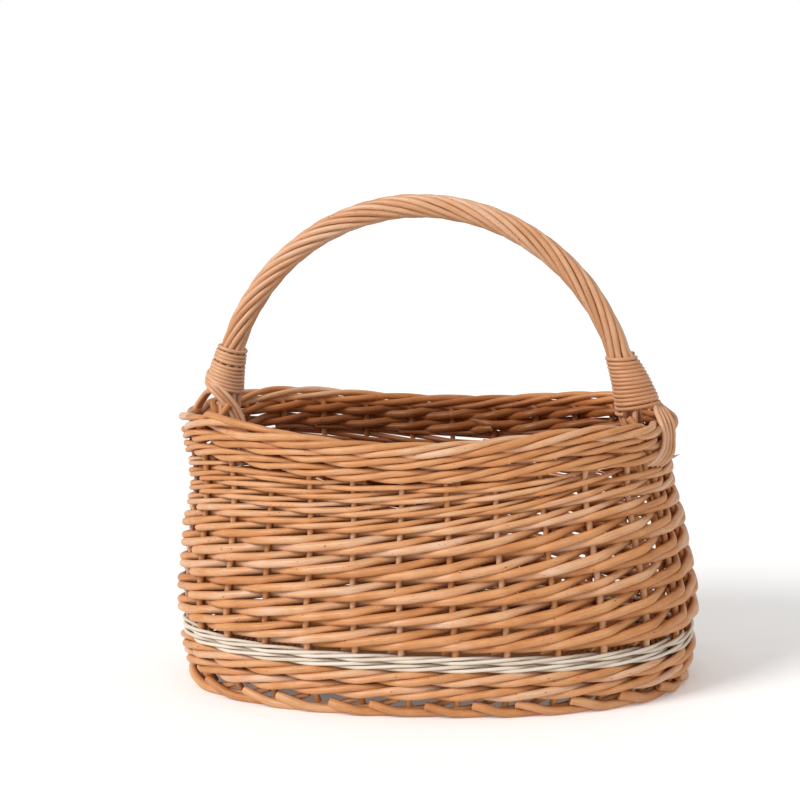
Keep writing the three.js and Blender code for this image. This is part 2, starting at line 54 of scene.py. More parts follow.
# Oval body, as the solids have it
STAKES = 28
OVAL_POWER = 2.24
FOOT_HALF_LENGTH = 194.5
FOOT_HALF_WIDTH = 119.5
BELLY_Z = 70.0
BELLY_OUT = 10.7
RIM_Z = 207.0
RIM_DRAW_IN = 20.5
DRAW_IN_POWER = 1.1
FLARE_START_Z = 160.0
FLARE_TOP_Z = 201.75
FLARE_OUT = 9.0
FLARE_POWER = 1.2
STAKE_LINE_DEPTH = 7.6
RIM_LEAN_X = -3.4
LEAN_POWER = 1.5
RIM_END_RISE = 4.0
RIM_CORNER_RISE = 8.0
RISE_START_Z = 50.0
BODY_TILT = -4.0
TILT_FULL_Z = 35.0

# The right bundle of handle rods draws the rim in, a little before the right-hand end
PINCH_DEPTH = 6.0
PINCH_BEFORE_END = 0.76
PINCH_SPREAD = 0.52
PINCH_START_Z = 176.0
PINCH_FULL_Z = 192.0

# Levels of the bands
FOOT_TOP = 14.0
BAND_START = 36.3
WEAVE_START = 48.5
WEAVE_END = 175.0
WALE_END = 195.8

# Stakes, by level, from under the base to the border
STAKE_LEVELS = np.array([12.6, 12.9, 18, 26, 40, 60, 85, 110, 135, 158, 176, 188, 194.5])
STAKE_OUT = (-26.0, -9.0, -2.2, 0, 0, 0, 0, 0, 0, 0, 0, 0, 0.3)
STAKE_LEAN = 0.05
STAKE_SIZE_VARIES = 0.06
STAKE_SAMPLES = 130

# Rolled border, with lengths in stake spaces
BORDER_CENTRE = 199.8
BORDER_HALF_WIDTH = 5.0
BORDER_HALF_HEIGHT = 3.8
BORDER_OUT = 1.5
BORDER_ROD = 2.7
BORDER_START = 0.16
BORDER_RUN = 4.3
BORDER_STEP = 0.14
BORDER_TAPER = (1.04, 0.84)
BORDER_TURN_STRAYS = 0.07
BORDER_WIDTH_STRAYS = 0.05
STAKE_RADIUS_LEVELS = (14, 60, 170, 192, 200)
STAKE_RADII = (2.65, 2.6, 2.1, 2.2, BORDER_ROD)

# Stakes that stand up in a kink before they turn down: level of the kink, start and distance out
KINKS = {14: (204.0, 0.0, -4.5), 16: (206.8, 0.36, 0.0)}
KINK_PLACES = (0, 0.14, 0.5, 1.1, 2)
KINK_DROP = np.array([2.0, 0.0, 0.6, 1.6])
KINK_OUT = np.array([0.0, 0.6, 2.0, 3.0])
KINK_OUT_SHARE = np.array([1.0, 1.0, 1.0, 0.5])
TIP_BEHIND_KINK = 4
SHORTER_BEHIND_KINK = 0.4

# Cut ends of border rods that stand up beside the bow: stake, foot, top and radius
CUT_ENDS = {
    12: ((-171.5, -10.0, 202.0), (-172.5, -11.0, 220.5), 2.7),
    13: ((-170.0, -14.0, 206.0), (-157.8, -15.0, 218.6), 2.9),
    27: ((164.0, -17.0, 197.0), (156.6, -16.5, 207.6), 2.7),
}
CUT_END_SAMPLES = 9
CUT_END_TONE = 0.3
CUT_END_BOW = np.array([1.2, -0.6, 0.0])

# Side weave: one rod starts at each stake and climbs one row for each stake that it passes
RODS_PER_NODE = 4
WEAVE_SAMPLES = 10
SMOOTHING_ROUNDS = 2
ROD_FILL = 1.18
ROD_HUG = 0.94
PAIR_SPREAD = (0.0, -0.09, 0.09)
STIFFNESS = 0.5
BUTT_LENGTH = 0.2
BUTT_VARIES = 0.12
TIP_LENGTH = 0.28
TIP_TAPER = 0.3
TIP_TAPER_LENGTH = 1.5
LOW_ROW_THICKNESS = 5.75
THINNER_ABOVE = 2.3
THINNER_FROM_ROW = 12
THINNER_OVER_ROWS = 7
FAR_WEAVE_RISE = 2.2
ROD_SIZE_VARIES = 0.05
ROD_LEVEL_STRAYS = 0.25
ROD_OUT_STRAYS = 0.3

# Rods run out sooner near the right-hand end, so the wall has fewer rows there
MOST_ROWS = 27
SHORT_RODS = (-9, -6, -4, -1, 1, 2, 4, 5, 7, 10)
SHORT_BY = 3
SHORTEST_RODS = (0, 3)
SHORTEST_BY = 6

# A rod's side of the stakes, by spaces past the stake that it passes behind: -1 is behind, 1 in front
HALF_SPACES = np.arange(-1, 4, 0.5)
SIDES_TAKEN = (1, 0, -1.04, 0, 1, 1.12, 1, 0, -1.04, 0)

# Wales: three rods go round together, each in front of two stakes and behind one
SEAM = 7
WALE_RODS = 3
WALE_ROUNDS = 2
WALE_SAMPLES = 9
WALE_CLIMB_LENGTH = 1.5
WALE_SWING = 0.25
WALE_LEVEL_STRAYS = 0.22
WALE_SIZE_STRAYS = 0.05
SWINGS = (0, -0.95, -1, 0, 1, 0.95, 0, -0.95, -1, 0)
UPPER_WALE_ROUND = (WALE_END - WEAVE_END) / WALE_ROUNDS

# Lowest level of a wale, height of one round, rod radius as a share of it, and how much thicker it is behind
WALES = {
    "lower_wale": dict(start=FOOT_TOP, round=11.4, radius=0.245, far=0.0, seed=71),
    "white_band": dict(start=BAND_START, round=6.1, radius=0.225, far=0.0, seed=72),
    "upper_wale": dict(start=WEAVE_END, round=UPPER_WALE_ROUND, radius=0.226, far=0.36, seed=73),
}

# Torn ends under the upper wale: place, level, run along the wall and drop
TORN_ENDS = (
    (24.08, 176.4, 0.32, 3.0),
    (25.12, 175.2, 0.14, 2.4),
    (25.14, 175.6, 0.36, -1.2),
    (23.0, 177.2, 0.2, 1.0),
    (22.0, 176.8, 0.12, 0.8),
    (19.3, 175.4, 0.22, 1.4),
    (9.4, 175.8, 0.22, 1.6),
)
TORN_SAMPLES = 7
TORN_OUT = 6.0
TORN_CURL = 2.2
TORN_RADIUS = 1.25
TORN_TIP_RADIUS = 0.12
TORN_TONE = 0.85
TORN_FLATNESS = 0.55
SPLINTER = ((183.0, -6.0, 174.6), (189.0, -4.0, 175.8), (193.6, -2.0, 177.6))
SPLINTER_RADII = (1.9, 1.5, 0.3)
SPLINTER_TONE = 0.8
SPLINTER_FLATNESS = 0.7

# Foot border: course of a rod by spaces along it, and the pegs that hold it
FOOT_PLACES = (0, 0.28, 0.62, 1.1, 1.7, 2.2, 2.6)
FOOT_HEIGHTS = (11.0, 8.2, 4.4, 3.3, 4.0, 7.6, 12.6)
FOOT_OUT = (5.2, 6.6, 6.6, 4.6, 1.2, -0.8, -1.2)
FOOT_ROD = 3.4
FOOT_TAPER = ((0, 1.4, 2.6), (1.04, 0.96, 0.62))
FOOT_START = 0.27
FOOT_START_VARIES = 0.06
FOOT_BUTT_REACH = (-0.12, 0.14)
FOOT_SIZE_VARIES = 0.05
FOOT_HEIGHT_STRAYS = 0.3
FOOT_OUT_STRAYS = 0.4
FOOT_SAMPLES = 34
PEG_LEVELS = (15.0, 11.0, 7.0)
PEG_OUT = (0.0, -0.6, -1.6)
PEG_ROD = 2.5

# Base: a domed oval woven over ribs, with sticks along and across it
BASE_Z = 19.5
BASE_DOME = 6.5
BASE_INSET = 12.0
BASE_LINE_HALF = 62.0
BASE_LINE_SPREAD = 1.6
BASE_RINGS = 22
BASE_FIRST_RING = 0.14
BASE_WEAVE_ROD = 2.15
BASE_WEAVE_SWING = 1.9
BASE_WEAVE_SAMPLES = 4
BASE_RIB_ROD = 2.2
BASE_RIB_START = 0.06
BASE_RIB_SAMPLES = 7
BASE_STICK_ROD = 3.3
STICK_SAMPLES = 9
LONG_STICK_HALF = 96
LONG_STICKS_Y = (-12, -4, 4, 12)
LONG_STICK_SINK = 0.5
CROSS_STICK_HALF = 50
CROSS_STICKS_X = (-75, -50, -25, 0, 25, 50, 75)
CROSS_STICK_SINK = 2.5
CROSS_DOME_HALF = 110

# Handle: a bow with nine rods wound round it
HANDLE_TOP_Z = 380.0
HANDLE_SPRING_Z = 207.0
HANDLE_HALF_SPAN = 160.9
HANDLE_CENTRE_X = -5.3
LEFT_END_STAKE = 14
RIGHT_END_STAKE = 28
LEG_LEVELS = (172.0, 142.0, 112.0)
LEG_DEPTH = 12.4
BOW_ROD = 4.3
BOW_TONE = 0.4
BOW_STEPS = 90
BOW_SAMPLES = 160
ROPE_RADIUS = 9.3
ROPE_ROD = 2.3
ROPE_RING = ROPE_RADIUS - ROPE_ROD
HANDLE_RISE = HANDLE_TOP_Z - ROPE_RADIUS - HANDLE_SPRING_Z
ROPE_STRANDS = 9
ROPE_START_ANGLE = math.pi / 3
ROPE_TURNS = 25 / 9
TWIST_PLACES = (0, 0.15, 0.5, 0.78, 0.93, 1)
TWIST_RATES = (0.95, 1.1, 1.2, 1.05, 0.55, 0.45)
TWIST_STEPS = 200
ROPE_STEPS = 170
ROPE_SAMPLES = 260
ROPE_TURN_STRAYS = 0.06
ROPE_RING_STRAYS = 0.25
ROPE_SIZE_VARIES = 0.03
BELOW_BINDING = 3

# Tails beside the leg: where they are bent, how far they lean and stand off there, and steps of their ends
INNER_MIDDLE = 0.35
INNER_LEAN = 0.6
INNER_TIGHTER = 1.4
INNER_WIDER = 1.0
INNER_DROP = 0.3

# The strands that cross the border at each end, and how they gather under the right binding, in degrees
BUNDLE_RODS = 4
GATHER_TURNS = (53, 30, 10, -10)
GATHER_START = 0.955
GATHER_LENGTH = 0.035
BUNDLE_LEAVES_EARLY = 5
BUNDLE_THINNER = 0.23
THINNER_START = 0.86
THINNER_LENGTH = 0.05

# Left bundle: x and z of its middle, and the distance between its rods
LEFT_TAIL_X = (-178.6, -183.6, -188.2, -190.4, -190.6)
LEFT_TAIL_Z = (227.0, 221.5, 214.5, 207.0, 200.0)
LEFT_TAIL_APART = np.array([4.6, 4.4, 4.0, 3.8, 3.8])

# Right bundle: course of its last rod, and where the next one lies beside it
RIGHT_TAIL = np.array([
    [175.5, -9.0, 216.0], [178.5, -19.0, 211.5], [182.0, -26.0, 205.5],
    [184.0, -29.0, 199.5], [184.5, -29.5, 193.5], [183.5, -33.0, 187.5],
    [181.0, -39.0, 183.0], [177.5, -43.5, 179.5], [172.5, -44.0, 176.5],
])
RIGHT_TAIL_APART_X = np.array([1.6, 2.5, 2.6, 2.2, 2.0, 2.4, 2.7, 2.9, 3.2])
RIGHT_TAIL_APART_Y = 3.5
RIGHT_TAIL_APART_Z = -0.6

# Three rods that cross below the left binding: course of the first, and where the next one lies beside it
LEFT_WRAP = np.array([
    [-178.0, 4.0, 238.0], [-178.4, -5.0, 235.0], [-173.0, -12.5, 230.5], [-165.5, -15.0, 223.5],
    [-158.5, -14.0, 214.0], [-154.2, -12.0, 204.0], [-152.8, -10.5, 192.0], [-152.4, -9.5, 180.0],
])
LEFT_WRAP_APART = np.array([
    [0.3, 0.0, 2.9], [0.6, 0.0, 3.0], [1.6, 0.0, 2.9], [2.4, 0.1, 2.4],
    [3.1, 0.2, 1.6], [3.3, 0.3, 0.8], [3.2, 0.3, 0.0], [3.2, 0.3, 0.0],
])
LEFT_WRAPS = 3
WRAP_ROD = 1.75
WRAP_SAMPLES = 46

# Bindings: foot and top, the roping's radius and outward shift at the foot, turns, first angle, and tilt
# The marks set shares of the turns beside shares of the way up
BINDING_ROD = 1.54
BINDING_SAMPLES = 28
BINDING_SEAT = 0.62
BINDING_SHARE_STRAYS = 0.005
BINDING_RING_STRAYS = 0.15
BINDING_SIZE_STRAYS = 0.04
BINDINGS = {
    "left": dict(
        side=-1, low=230.0, high=264.0, ring=11.4, lean=0.0, turns=10.6, start=0.8,
        tilt=(24.0, 20.0), tone=0.56,
        marks=((0, 0.58, 0.64, 0.90, 0.96, 1), (0, 0.53, 0.63, 0.87, 0.96, 1)),
    ),
    "right": dict(
        side=1, low=210.3, high=255.5, ring=13.9, lean=7.4, turns=13.6, start=2.2,
        tilt=(11.5, 4.0), tone=0.16,
        marks=((0, 0.13, 0.2, 0.85, 0.9, 1), (0, 0.15, 0.21, 0.83, 0.89, 1)),
    ),
}

# Section and ends of a rod, and what gives each rod its own stretch of grain
ROD_UNEVEN = 0.035
UNEVEN_TURN = 40
CUT_WIDTH = 0.8
CUT_CHAMFER = 0.16
GRAIN_RADIUS = 3
GRAIN_SHIFT = np.array([977, 613, 3571])
GRAIN_PERIOD = np.array([61, 53, 997])

# Painted shade on the inside of the basket and on the rods' flanks, fading out towards the rim: its top, and
# how far a face looks inwards where the painted shade begins and is full
INSIDE_TOP_Z = 208.0
INSIDE_FADE = 12.0
INSIDE_BEGINS = -0.15
INSIDE_FULL = 0.75

# Tones of the rods, from dark to light, and the reach in which a rod's own tone lies
TONE_REACH = (0.12, 0.88)
BUFF = [
    (0.55, 0.225, 0.078), (0.65, 0.285, 0.104), (0.72, 0.35, 0.150),
    (0.75, 0.415, 0.22), (0.78, 0.49, 0.32),
]
BROWN = [(0.50, 0.20, 0.070), (0.62, 0.275, 0.102), (0.70, 0.34, 0.146), (0.735, 0.40, 0.20)]
DEEP = [(0.38, 0.145, 0.048), (0.46, 0.19, 0.066), (0.55, 0.25, 0.098)]
PALE = [(0.63, 0.305, 0.145), (0.70, 0.365, 0.19), (0.75, 0.43, 0.25), (0.79, 0.50, 0.33)]
WHITE = [(0.68, 0.56, 0.42), (0.78, 0.69, 0.57), (0.84, 0.77, 0.68)]

# What a rod's colour is multiplied by
PLAIN = (1.0, 1.0, 1.0)
STREAK = (0.74, 0.62, 0.50)
PALE_STREAK = (0.78, 0.66, 0.54)
WHITE_STREAK = (0.84, 0.78, 0.70)
LIGHT_LINE = (1.07, 1.05, 1.03)
HAIR_LINE = (0.80, 0.74, 0.68)
LINE_STRENGTH = 0.75
HAIR_STRENGTH = 0.45

# The same, as painted shade: from the outside of a rod over its flanks, warmer where the crevices between
# rods are in shade, to its inner side, darker where the inside of the basket is in shade
PAINTED_SHADE_STEPS = [
    (0.0, PLAIN), (0.17, (0.98, 0.85, 0.68)), (0.5, (0.68, 0.50, 0.33)), (1.0, (0.43, 0.29, 0.17)),
]

# Specks and the pith in a cut end
SPECK = (0.13, 0.045, 0.015)
SMALL_SPECK = (0.35, 0.15, 0.055)
PITH = (0.20, 0.09, 0.035)
SPECK_STRENGTH = 0.75
SPECK_STRETCH = (1.0, 1.0, 0.55)
CUT_STRENGTH = 0.8

# Height of the grain's relief, in metres
BUMP_DISTANCE = 0.0006

# Camera at the photograph's viewing angle, in degrees, metres and millimetres of focal length
CAMERA_AZIMUTH = 11.976
CAMERA_ELEVATION = 8.646
CAMERA_ROLL = -1.941
CAMERA_DISTANCE = 1.7136
CAMERA_TARGET = (-0.02337, 0.0, 0.21956)
CAMERA_LENS = 98.66
SENSOR_WIDTH = 36

# Studio
FLOOR_HALF = 14
FLOOR_LIGHT = (0.80, 0.80, 0.80)
FLOOR_DARK = (0.78, 0.78, 0.78)
FLOOR_GRAIN = 40.0
FLOOR_GRAIN_SHARE = 0.02
FLOOR_GLOW = 0.14
FLOOR_GLOW_COLOUR = (1.0, 0.97, 0.93, 1.0)
WORLD_STRENGTH = 0.57
KEY_LIGHT = dict(towards=(-0.8, -0.82, 0.78), energy=2.05, spread=26)
FILL_LIGHT = dict(towards=(0.8, -0.6, 0.35), energy=0.15, spread=60)


# Curves
def smooth_step(x):
    x = np.clip(x, 0, 1)
    return x * x * (3 - 2 * x)


def smooth_knots(t, knots, values):
    """Smooth curve (Catmull-Rom) through values at rising knots."""
    knots = np.asarray(knots, float)
    values = np.asarray(values, float)
    i = np.clip(np.searchsorted(knots, t, side="right") - 1, 0, len(knots) - 2)
    span = knots[i + 1] - knots[i]
    u = np.clip((t - knots[i]) / span, 0, 1)
    slope = np.gradient(values, knots, axis=0)
    shape = (slice(None),) + (None,) * (values.ndim - 1)
    u, span = u[shape], span[shape]
    from_value = 2 * u**3 - 3 * u**2 + 1
    from_slope = u**3 - 2 * u**2 + u
    to_value = -2 * u**3 + 3 * u**2
    to_slope = u**3 - u**2
    start = from_value * values[i] + from_slope * span * slope[i]
    return start + to_value * values[i + 1] + to_slope * span * slope[i + 1]


def wander(t, seed, scale):
    """Slow irregular wave between about -1 and 1, the same on every run."""
    rng = np.random.default_rng(seed)
    total = np.zeros_like(np.asarray(t, float))
    for k in range(1, 5):
        total += rng.normal() * np.sin(t * k * scale + rng.uniform(0, 2 * np.pi)) / k
    return total / 1.6


def vary(*seed):
    """One normal draw that belongs to the seed."""
    return np.random.default_rng(list(seed)).normal()


def tone_of(*seed):
    """A rod's place between the dark and the light end of its material's tones."""
    return float(np.random.default_rng(list(seed)).uniform(*TONE_REACH))


def along_length(points):
    """Distance of each point from the first one, along the points."""
    return np.r_[0, np.cumsum(np.linalg.norm(np.diff(points, axis=0), axis=1))]


def resample(knots, count):
    """Points at even distances on the curve through knots."""
    along = along_length(knots)
    return smooth_knots(np.linspace(0, along[-1], count), along, knots)


def unit(vectors):
    return vectors / np.maximum(np.linalg.norm(vectors, axis=-1, keepdims=True), 1e-9)


# Wall
def squarer(value):
    """A cosine or sine, changed so that a circle becomes squarish."""
    return np.sign(value) * np.abs(value) ** (2 / OVAL_POWER)


def oval(a, b, angle):
    return a * squarer(np.cos(angle)), b * squarer(np.sin(angle))


def even_angles():
    """Angles that divide the belly's outline into equal lengths, one for each stake."""
    t = np.linspace(0, 2 * np.pi, OUTLINE_SAMPLES)
    x, y = oval(FOOT_HALF_LENGTH + BELLY_OUT, FOOT_HALF_WIDTH + BELLY_OUT, t)
    length = np.r_[0, np.cumsum(np.hypot(np.diff(x), np.diff(y)))]
    return np.interp(length[-1] * np.arange(STAKES + 1) / STAKES, length, t)


STAKE_ANGLES = even_angles()


def angle_at(s):
    """Angle round the oval at a place that is counted in stakes."""
    s = np.asarray(s, float)
    turns = np.floor(s / STAKES)
    return np.interp(s - turns * STAKES, np.arange(STAKES + 1), STAKE_ANGLES) + turns * 2 * np.pi


def wall_offset(z):
    """How far the wall stands outside the foot's outline: belly, drawn-in neck and flared rim."""
    z = np.asarray(z, float)
    low = BELLY_OUT * (1 - (1 - np.clip(z, 0, BELLY_Z) / BELLY_Z) ** 3)
    drawn = (np.clip(z - BELLY_Z, 0, None) / (RIM_Z - BELLY_Z)) ** DRAW_IN_POWER
    flare = np.clip((z - FLARE_START_Z) / (FLARE_TOP_Z - FLARE_START_Z), 0, None)
    high = BELLY_OUT - RIM_DRAW_IN * drawn + FLARE_OUT * flare ** FLARE_POWER
    return np.where(z < BELLY_Z, low, high)


def level_height(level, s):
    """Height of a level at a place: the rim rises at the ends and corners, and the body tilts."""
    angle = angle_at(s)
    along = np.cos(angle)
    corner = np.sin(2 * angle) ** 2
    tilt = BODY_TILT * along * np.minimum(level / TILT_FULL_Z, 1)
    share = np.clip((level - RISE_START_Z) / (RIM_Z - RISE_START_Z), 0, None)
    return level + tilt + share * (RIM_END_RISE * along**2 + RIM_CORNER_RISE * corner)


def pinch(s, level):
    """How far the rim is drawn in under the right bundle."""
    from_bundle = np.mod(s + PINCH_BEFORE_END + STAKES / 2, STAKES) - STAKES / 2
    high = np.clip((level - PINCH_START_Z) / (PINCH_FULL_Z - PINCH_START_Z), 0, 1)
    return PINCH_DEPTH * np.exp(-((from_bundle / PINCH_SPREAD) ** 2)) * high


def wall_point(s, level, out):
    """Points on the wall: stake place, level, and distance outside the stakes' centre line."""
    s, level, out = np.broadcast_arrays(*(np.asarray(v, float) for v in (s, level, out)))
    z = level_height(level, s)
    offset = wall_offset(z) - STAKE_LINE_DEPTH + out - pinch(s, level)
    x, y = oval(FOOT_HALF_LENGTH + offset, FOOT_HALF_WIDTH + offset, angle_at(s))
    x = x + RIM_LEAN_X * (np.clip(z, 0, None) / RIM_Z) ** LEAN_POWER
    return np.stack([x, y, z], -1)


def stake_radius(level):
    return np.interp(level, STAKE_RADIUS_LEVELS, STAKE_RADII)


def side_of_stakes(m):
    """Side of the stakes along a rod: behind at 0, in front at 1 and 2, with a slight bow between them."""
    return smooth_knots(np.mod(m, 3), HALF_SPACES, SIDES_TAKEN)


# Rods as meshes
def put_in_scene(name, data):
    obj = bpy.data.objects.new(name, data)
    bpy.context.scene.collection.objects.link(obj)
    return obj


def carried_normals(tangents):
    """One normal for each point, carried along a rod without twist from an arbitrary first one."""
    normal = np.cross(tangents[0], [0.13, 0.21, 0.97])
    if np.linalg.norm(normal) < 0.2:
        normal = np.cross(tangents[0], [1.0, 0.1, 0.0])
    normals = np.empty_like(tangents)
    for i, tangent in enumerate(tangents):
        normal = unit(normal - tangent * (normal @ tangent))
        normals[i] = normal
    return normals


def inside_shade_share(points, body):
    """How much each place on a wall rod faces the inside of the basket, which sets the painted shade there
    and on the rod's flanks; it fades out towards the top of the rim.
    """
    outward = unit(points * [1 / FOOT_HALF_LENGTH**2, 1 / FOOT_HALF_WIDTH**2, 0])
    inward = -np.einsum("ijk,ik->ij", unit(body - points[:, None]), outward)
    share = np.clip((inward - INSIDE_BEGINS) / (INSIDE_FULL - INSIDE_BEGINS), 0, 1)
    low = np.clip((INSIDE_TOP_Z - points[:, 2]) / INSIDE_FADE, 0, 1)[:, None]
    return (share * low).ravel()


class Rods:
    """Collects rods as tubes and makes one mesh piece from them."""

    def __init__(self):
        self.verts, self.faces, self.flat = [], [], []
        self.marks = {"grain": [], "tone": [], "cut": [], "shade": []}
        self.count = 0

    def add_verts(self, verts, **marks):
        """Keeps vertices with their marks for the materials, and returns the first one's number."""
        self.verts.append(verts)
        for label, values in marks.items():
            self.marks[label].append(values)
        self.count += len(verts)
        return self.count - len(verts)

    def add_faces(self, corners, flat):
        self.faces.append(corners.reshape(-1, 4))
        self.flat.append(np.full(len(self.faces[-1]), flat))

    def add(self, points, radii, tone, sides=ROD_SIDES, tip=False, normals=None, flatten=1.0):
        """One rod along points. A torn tip has no cut face, and normals say where a rod is flattened."""
        points = np.asarray(points, float)
        n = len(points)
        radii = np.broadcast_to(np.asarray(radii, float), (n,))
        tangents = unit(np.gradient(points, axis=0))
        if normals is None:
            normals = carried_normals(tangents)
        else:
            normals = unit(normals - tangents * np.einsum("ij,ij->i", normals, tangents)[:, None])
        across = np.cross(tangents, normals)
        turn = 2 * np.pi * np.arange(sides) / sides
        cos, sin = np.cos(turn), np.sin(turn)
        uneven = 1 + ROD_UNEVEN * np.cos(2 * turn + tone * UNEVEN_TURN)
        ring = (radii[:, None] * uneven)[..., None]
        round_rod = flatten * cos[None, :, None] * normals[:, None] + sin[None, :, None] * across[:, None]
        body = points[:, None] + ring * round_rod
        grain = np.broadcast_arrays(GRAIN_RADIUS * cos, GRAIN_RADIUS * sin, along_length(points)[:, None])
        grain = np.stack(grain, -1) + tone * GRAIN_SHIFT % GRAIN_PERIOD
        first = self.add_verts(
            body.reshape(-1, 3),
            grain=grain.reshape(-1, 3),
            tone=np.full(n * sides, tone),
            cut=np.zeros(n * sides),
            # Painted shade mark: how far each place faces the inside of the basket
            shade=inside_shade_share(points, body),
        )
        i = first + np.arange(n - 1)[:, None] * sides
        j = np.arange(sides)
        k = (j + 1) % sides
        self.add_faces(np.stack([i + j, i + k, i + sides + k, i + sides + j], -1), False)
        for end, sign in ((0, -1), (n - 1, 1)):
            self.cap(points[end], body[end], tangents[end] * sign, radii[end], grain[end], tone, sign, tip)

    def cap(self, centre, ring, outward, radius, grain, tone, sign, tip):
        """End of a rod: a chamfer and a flat cut face."""
        sides = len(ring)
        inner = centre + (ring - centre) * CUT_WIDTH + outward * radius * CUT_CHAMFER
        cut = 0.0 if tip else 1.0
        first = self.add_verts(
            np.concatenate([ring, inner, inner, [inner.mean(0)]]),
            grain=np.concatenate([grain, grain, grain, [grain.mean(0)]]),
            tone=np.full(3 * sides + 1, tone),
            cut=np.r_[np.zeros(2 * sides), np.full(sides, cut), cut * 2],
            shade=np.zeros(3 * sides + 1),
        )
        j = first + np.arange(sides)
        k = first + (np.arange(sides) + 1) % sides
        if sign < 0:
            j, k = k, j
        middle = np.full(sides, first + 3 * sides)
        self.add_faces(np.stack([j, k, sides + k, sides + j], -1), False)
        self.add_faces(np.stack([2 * sides + j, 2 * sides + k, middle, middle], -1), True)

    def piece(self, name, material, node):
        """One mesh of all rods so far, in place of a node of the solids."""
        verts = np.concatenate(self.verts) * MM
        faces = np.concatenate(self.faces)
        used = np.ones(faces.shape, bool)
        used[:, 3] = faces[:, 2] != faces[:, 3]
        corners = faces[used]
        counts = used.sum(axis=1)
        starts = np.r_[0, np.cumsum(counts)[:-1]]
        mesh = bpy.data.meshes.new(name)
        mesh.vertices.add(len(verts))
        mesh.vertices.foreach_set("co", verts.astype(np.float32).ravel())
        mesh.loops.add(len(corners))
        mesh.loops.foreach_set("vertex_index", corners.astype(np.int32))
        mesh.polygons.add(len(faces))
        mesh.polygons.foreach_set("loop_start", starts.astype(np.int32))
        mesh.polygons.foreach_set("loop_total", counts.astype(np.int32))
        mesh.update(calc_edges=True)
        mesh.polygons.foreach_set("use_smooth", ~np.concatenate(self.flat))
        for label, values in self.marks.items():
            data = np.concatenate(values).astype(np.float32)
            kind, field = ("FLOAT_VECTOR", "vector") if data.ndim > 1 else ("FLOAT", "value")
            layer = mesh.attributes.new(label, kind, "POINT")
            layer.data.foreach_set(field, data.ravel())
        mesh.validate()
        mesh.materials.append(material)
        obj = put_in_scene(name, mesh)
        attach(obj, "root")
        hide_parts(node)


# Shader nodes: the functions add nodes to a tree, and all but the first return an output
def add_node(tree, kind, inputs=None, **settings):
    """New node with its settings. Its inputs are numbers, colours or other nodes' outputs."""
    made = tree.nodes.new(kind)
    for name, value in settings.items():
        setattr(made, name, value)
    for place, value in (inputs or {}).items():
        socket = made.inputs[place]
        if isinstance(value, bpy.types.NodeSocket):
            tree.links.new(value, socket)
        else:
            socket.default_value = (*value, 1) if socket.type == "RGBA" else value
    return made


def attribute(tree, name, output="Fac"):
    return add_node(tree, "ShaderNodeAttribute", attribute_name=name).outputs[output]


def ramp(tree, stops, source):
    made = add_node(tree, "ShaderNodeValToRGB", {0: source})
    elements = made.color_ramp.elements
    while len(elements) < len(stops):
        elements.new(0.5)
    for element, (place, colour) in zip(elements, stops):
        element.position = place
        element.color = (*colour, 1)
    return made.outputs[0]


def math_node(tree, operation, a, b, clamp=False):
    return add_node(tree, "ShaderNodeMath", {0: a, 1: b}, operation=operation, use_clamp=clamp).outputs[0]


def times(tree, a, b, clamp=False):
    return math_node(tree, "MULTIPLY", a, b, clamp)


def plus(tree, a, b, clamp=False):
    return math_node(tree, "ADD", a, b, clamp)


def centred(tree, value, reach):
    """A noise value moved to lie about zero, and made as wide as reach."""
    return times(tree, math_node(tree, "SUBTRACT", value, 0.5), reach)


def mix(tree, factor, a, b, blend="MIX"):
    inputs = {0: factor, 6: a, 7: b}
    return add_node(tree, "ShaderNodeMix", inputs, data_type="RGBA", blend_type=blend).outputs[2]


def stretched(tree, vector, stretch):
    return add_node(tree, "ShaderNodeMapping", {"Vector": vector, "Scale": stretch}).outputs[0]


def noise(tree, grain, scale, stretch, detail, roughness=0.55):
    place = stretched(tree, grain, stretch)
    inputs = {"Vector": place, "Scale": scale, "Detail": detail, "Roughness": roughness}
    return add_node(tree, "ShaderNodeTexNoise", inputs).outputs["Fac"]


def specks(tree, grain, scale, reach, share):
    """Dots on a share of the cells of a rod's skin, a little longer than wide."""
    place = stretched(tree, grain, SPECK_STRETCH)
    cells = add_node(tree, "ShaderNodeTexVoronoi", {"Vector": place, "Scale": scale})
    dots = math_node(tree, "LESS_THAN", cells.outputs["Distance"], reach)
    chosen = math_node(tree, "GREATER_THAN", cells.outputs["Color"], 1 - share)
    return times(tree, times(tree, dots, chosen), SPECK_STRENGTH)


def new_material(name):
    """A material, with its node tree and its shader."""
    material = bpy.data.materials.new(name)
    material.use_nodes = True
    return material, material.node_tree, material.node_tree.nodes["Principled BSDF"]


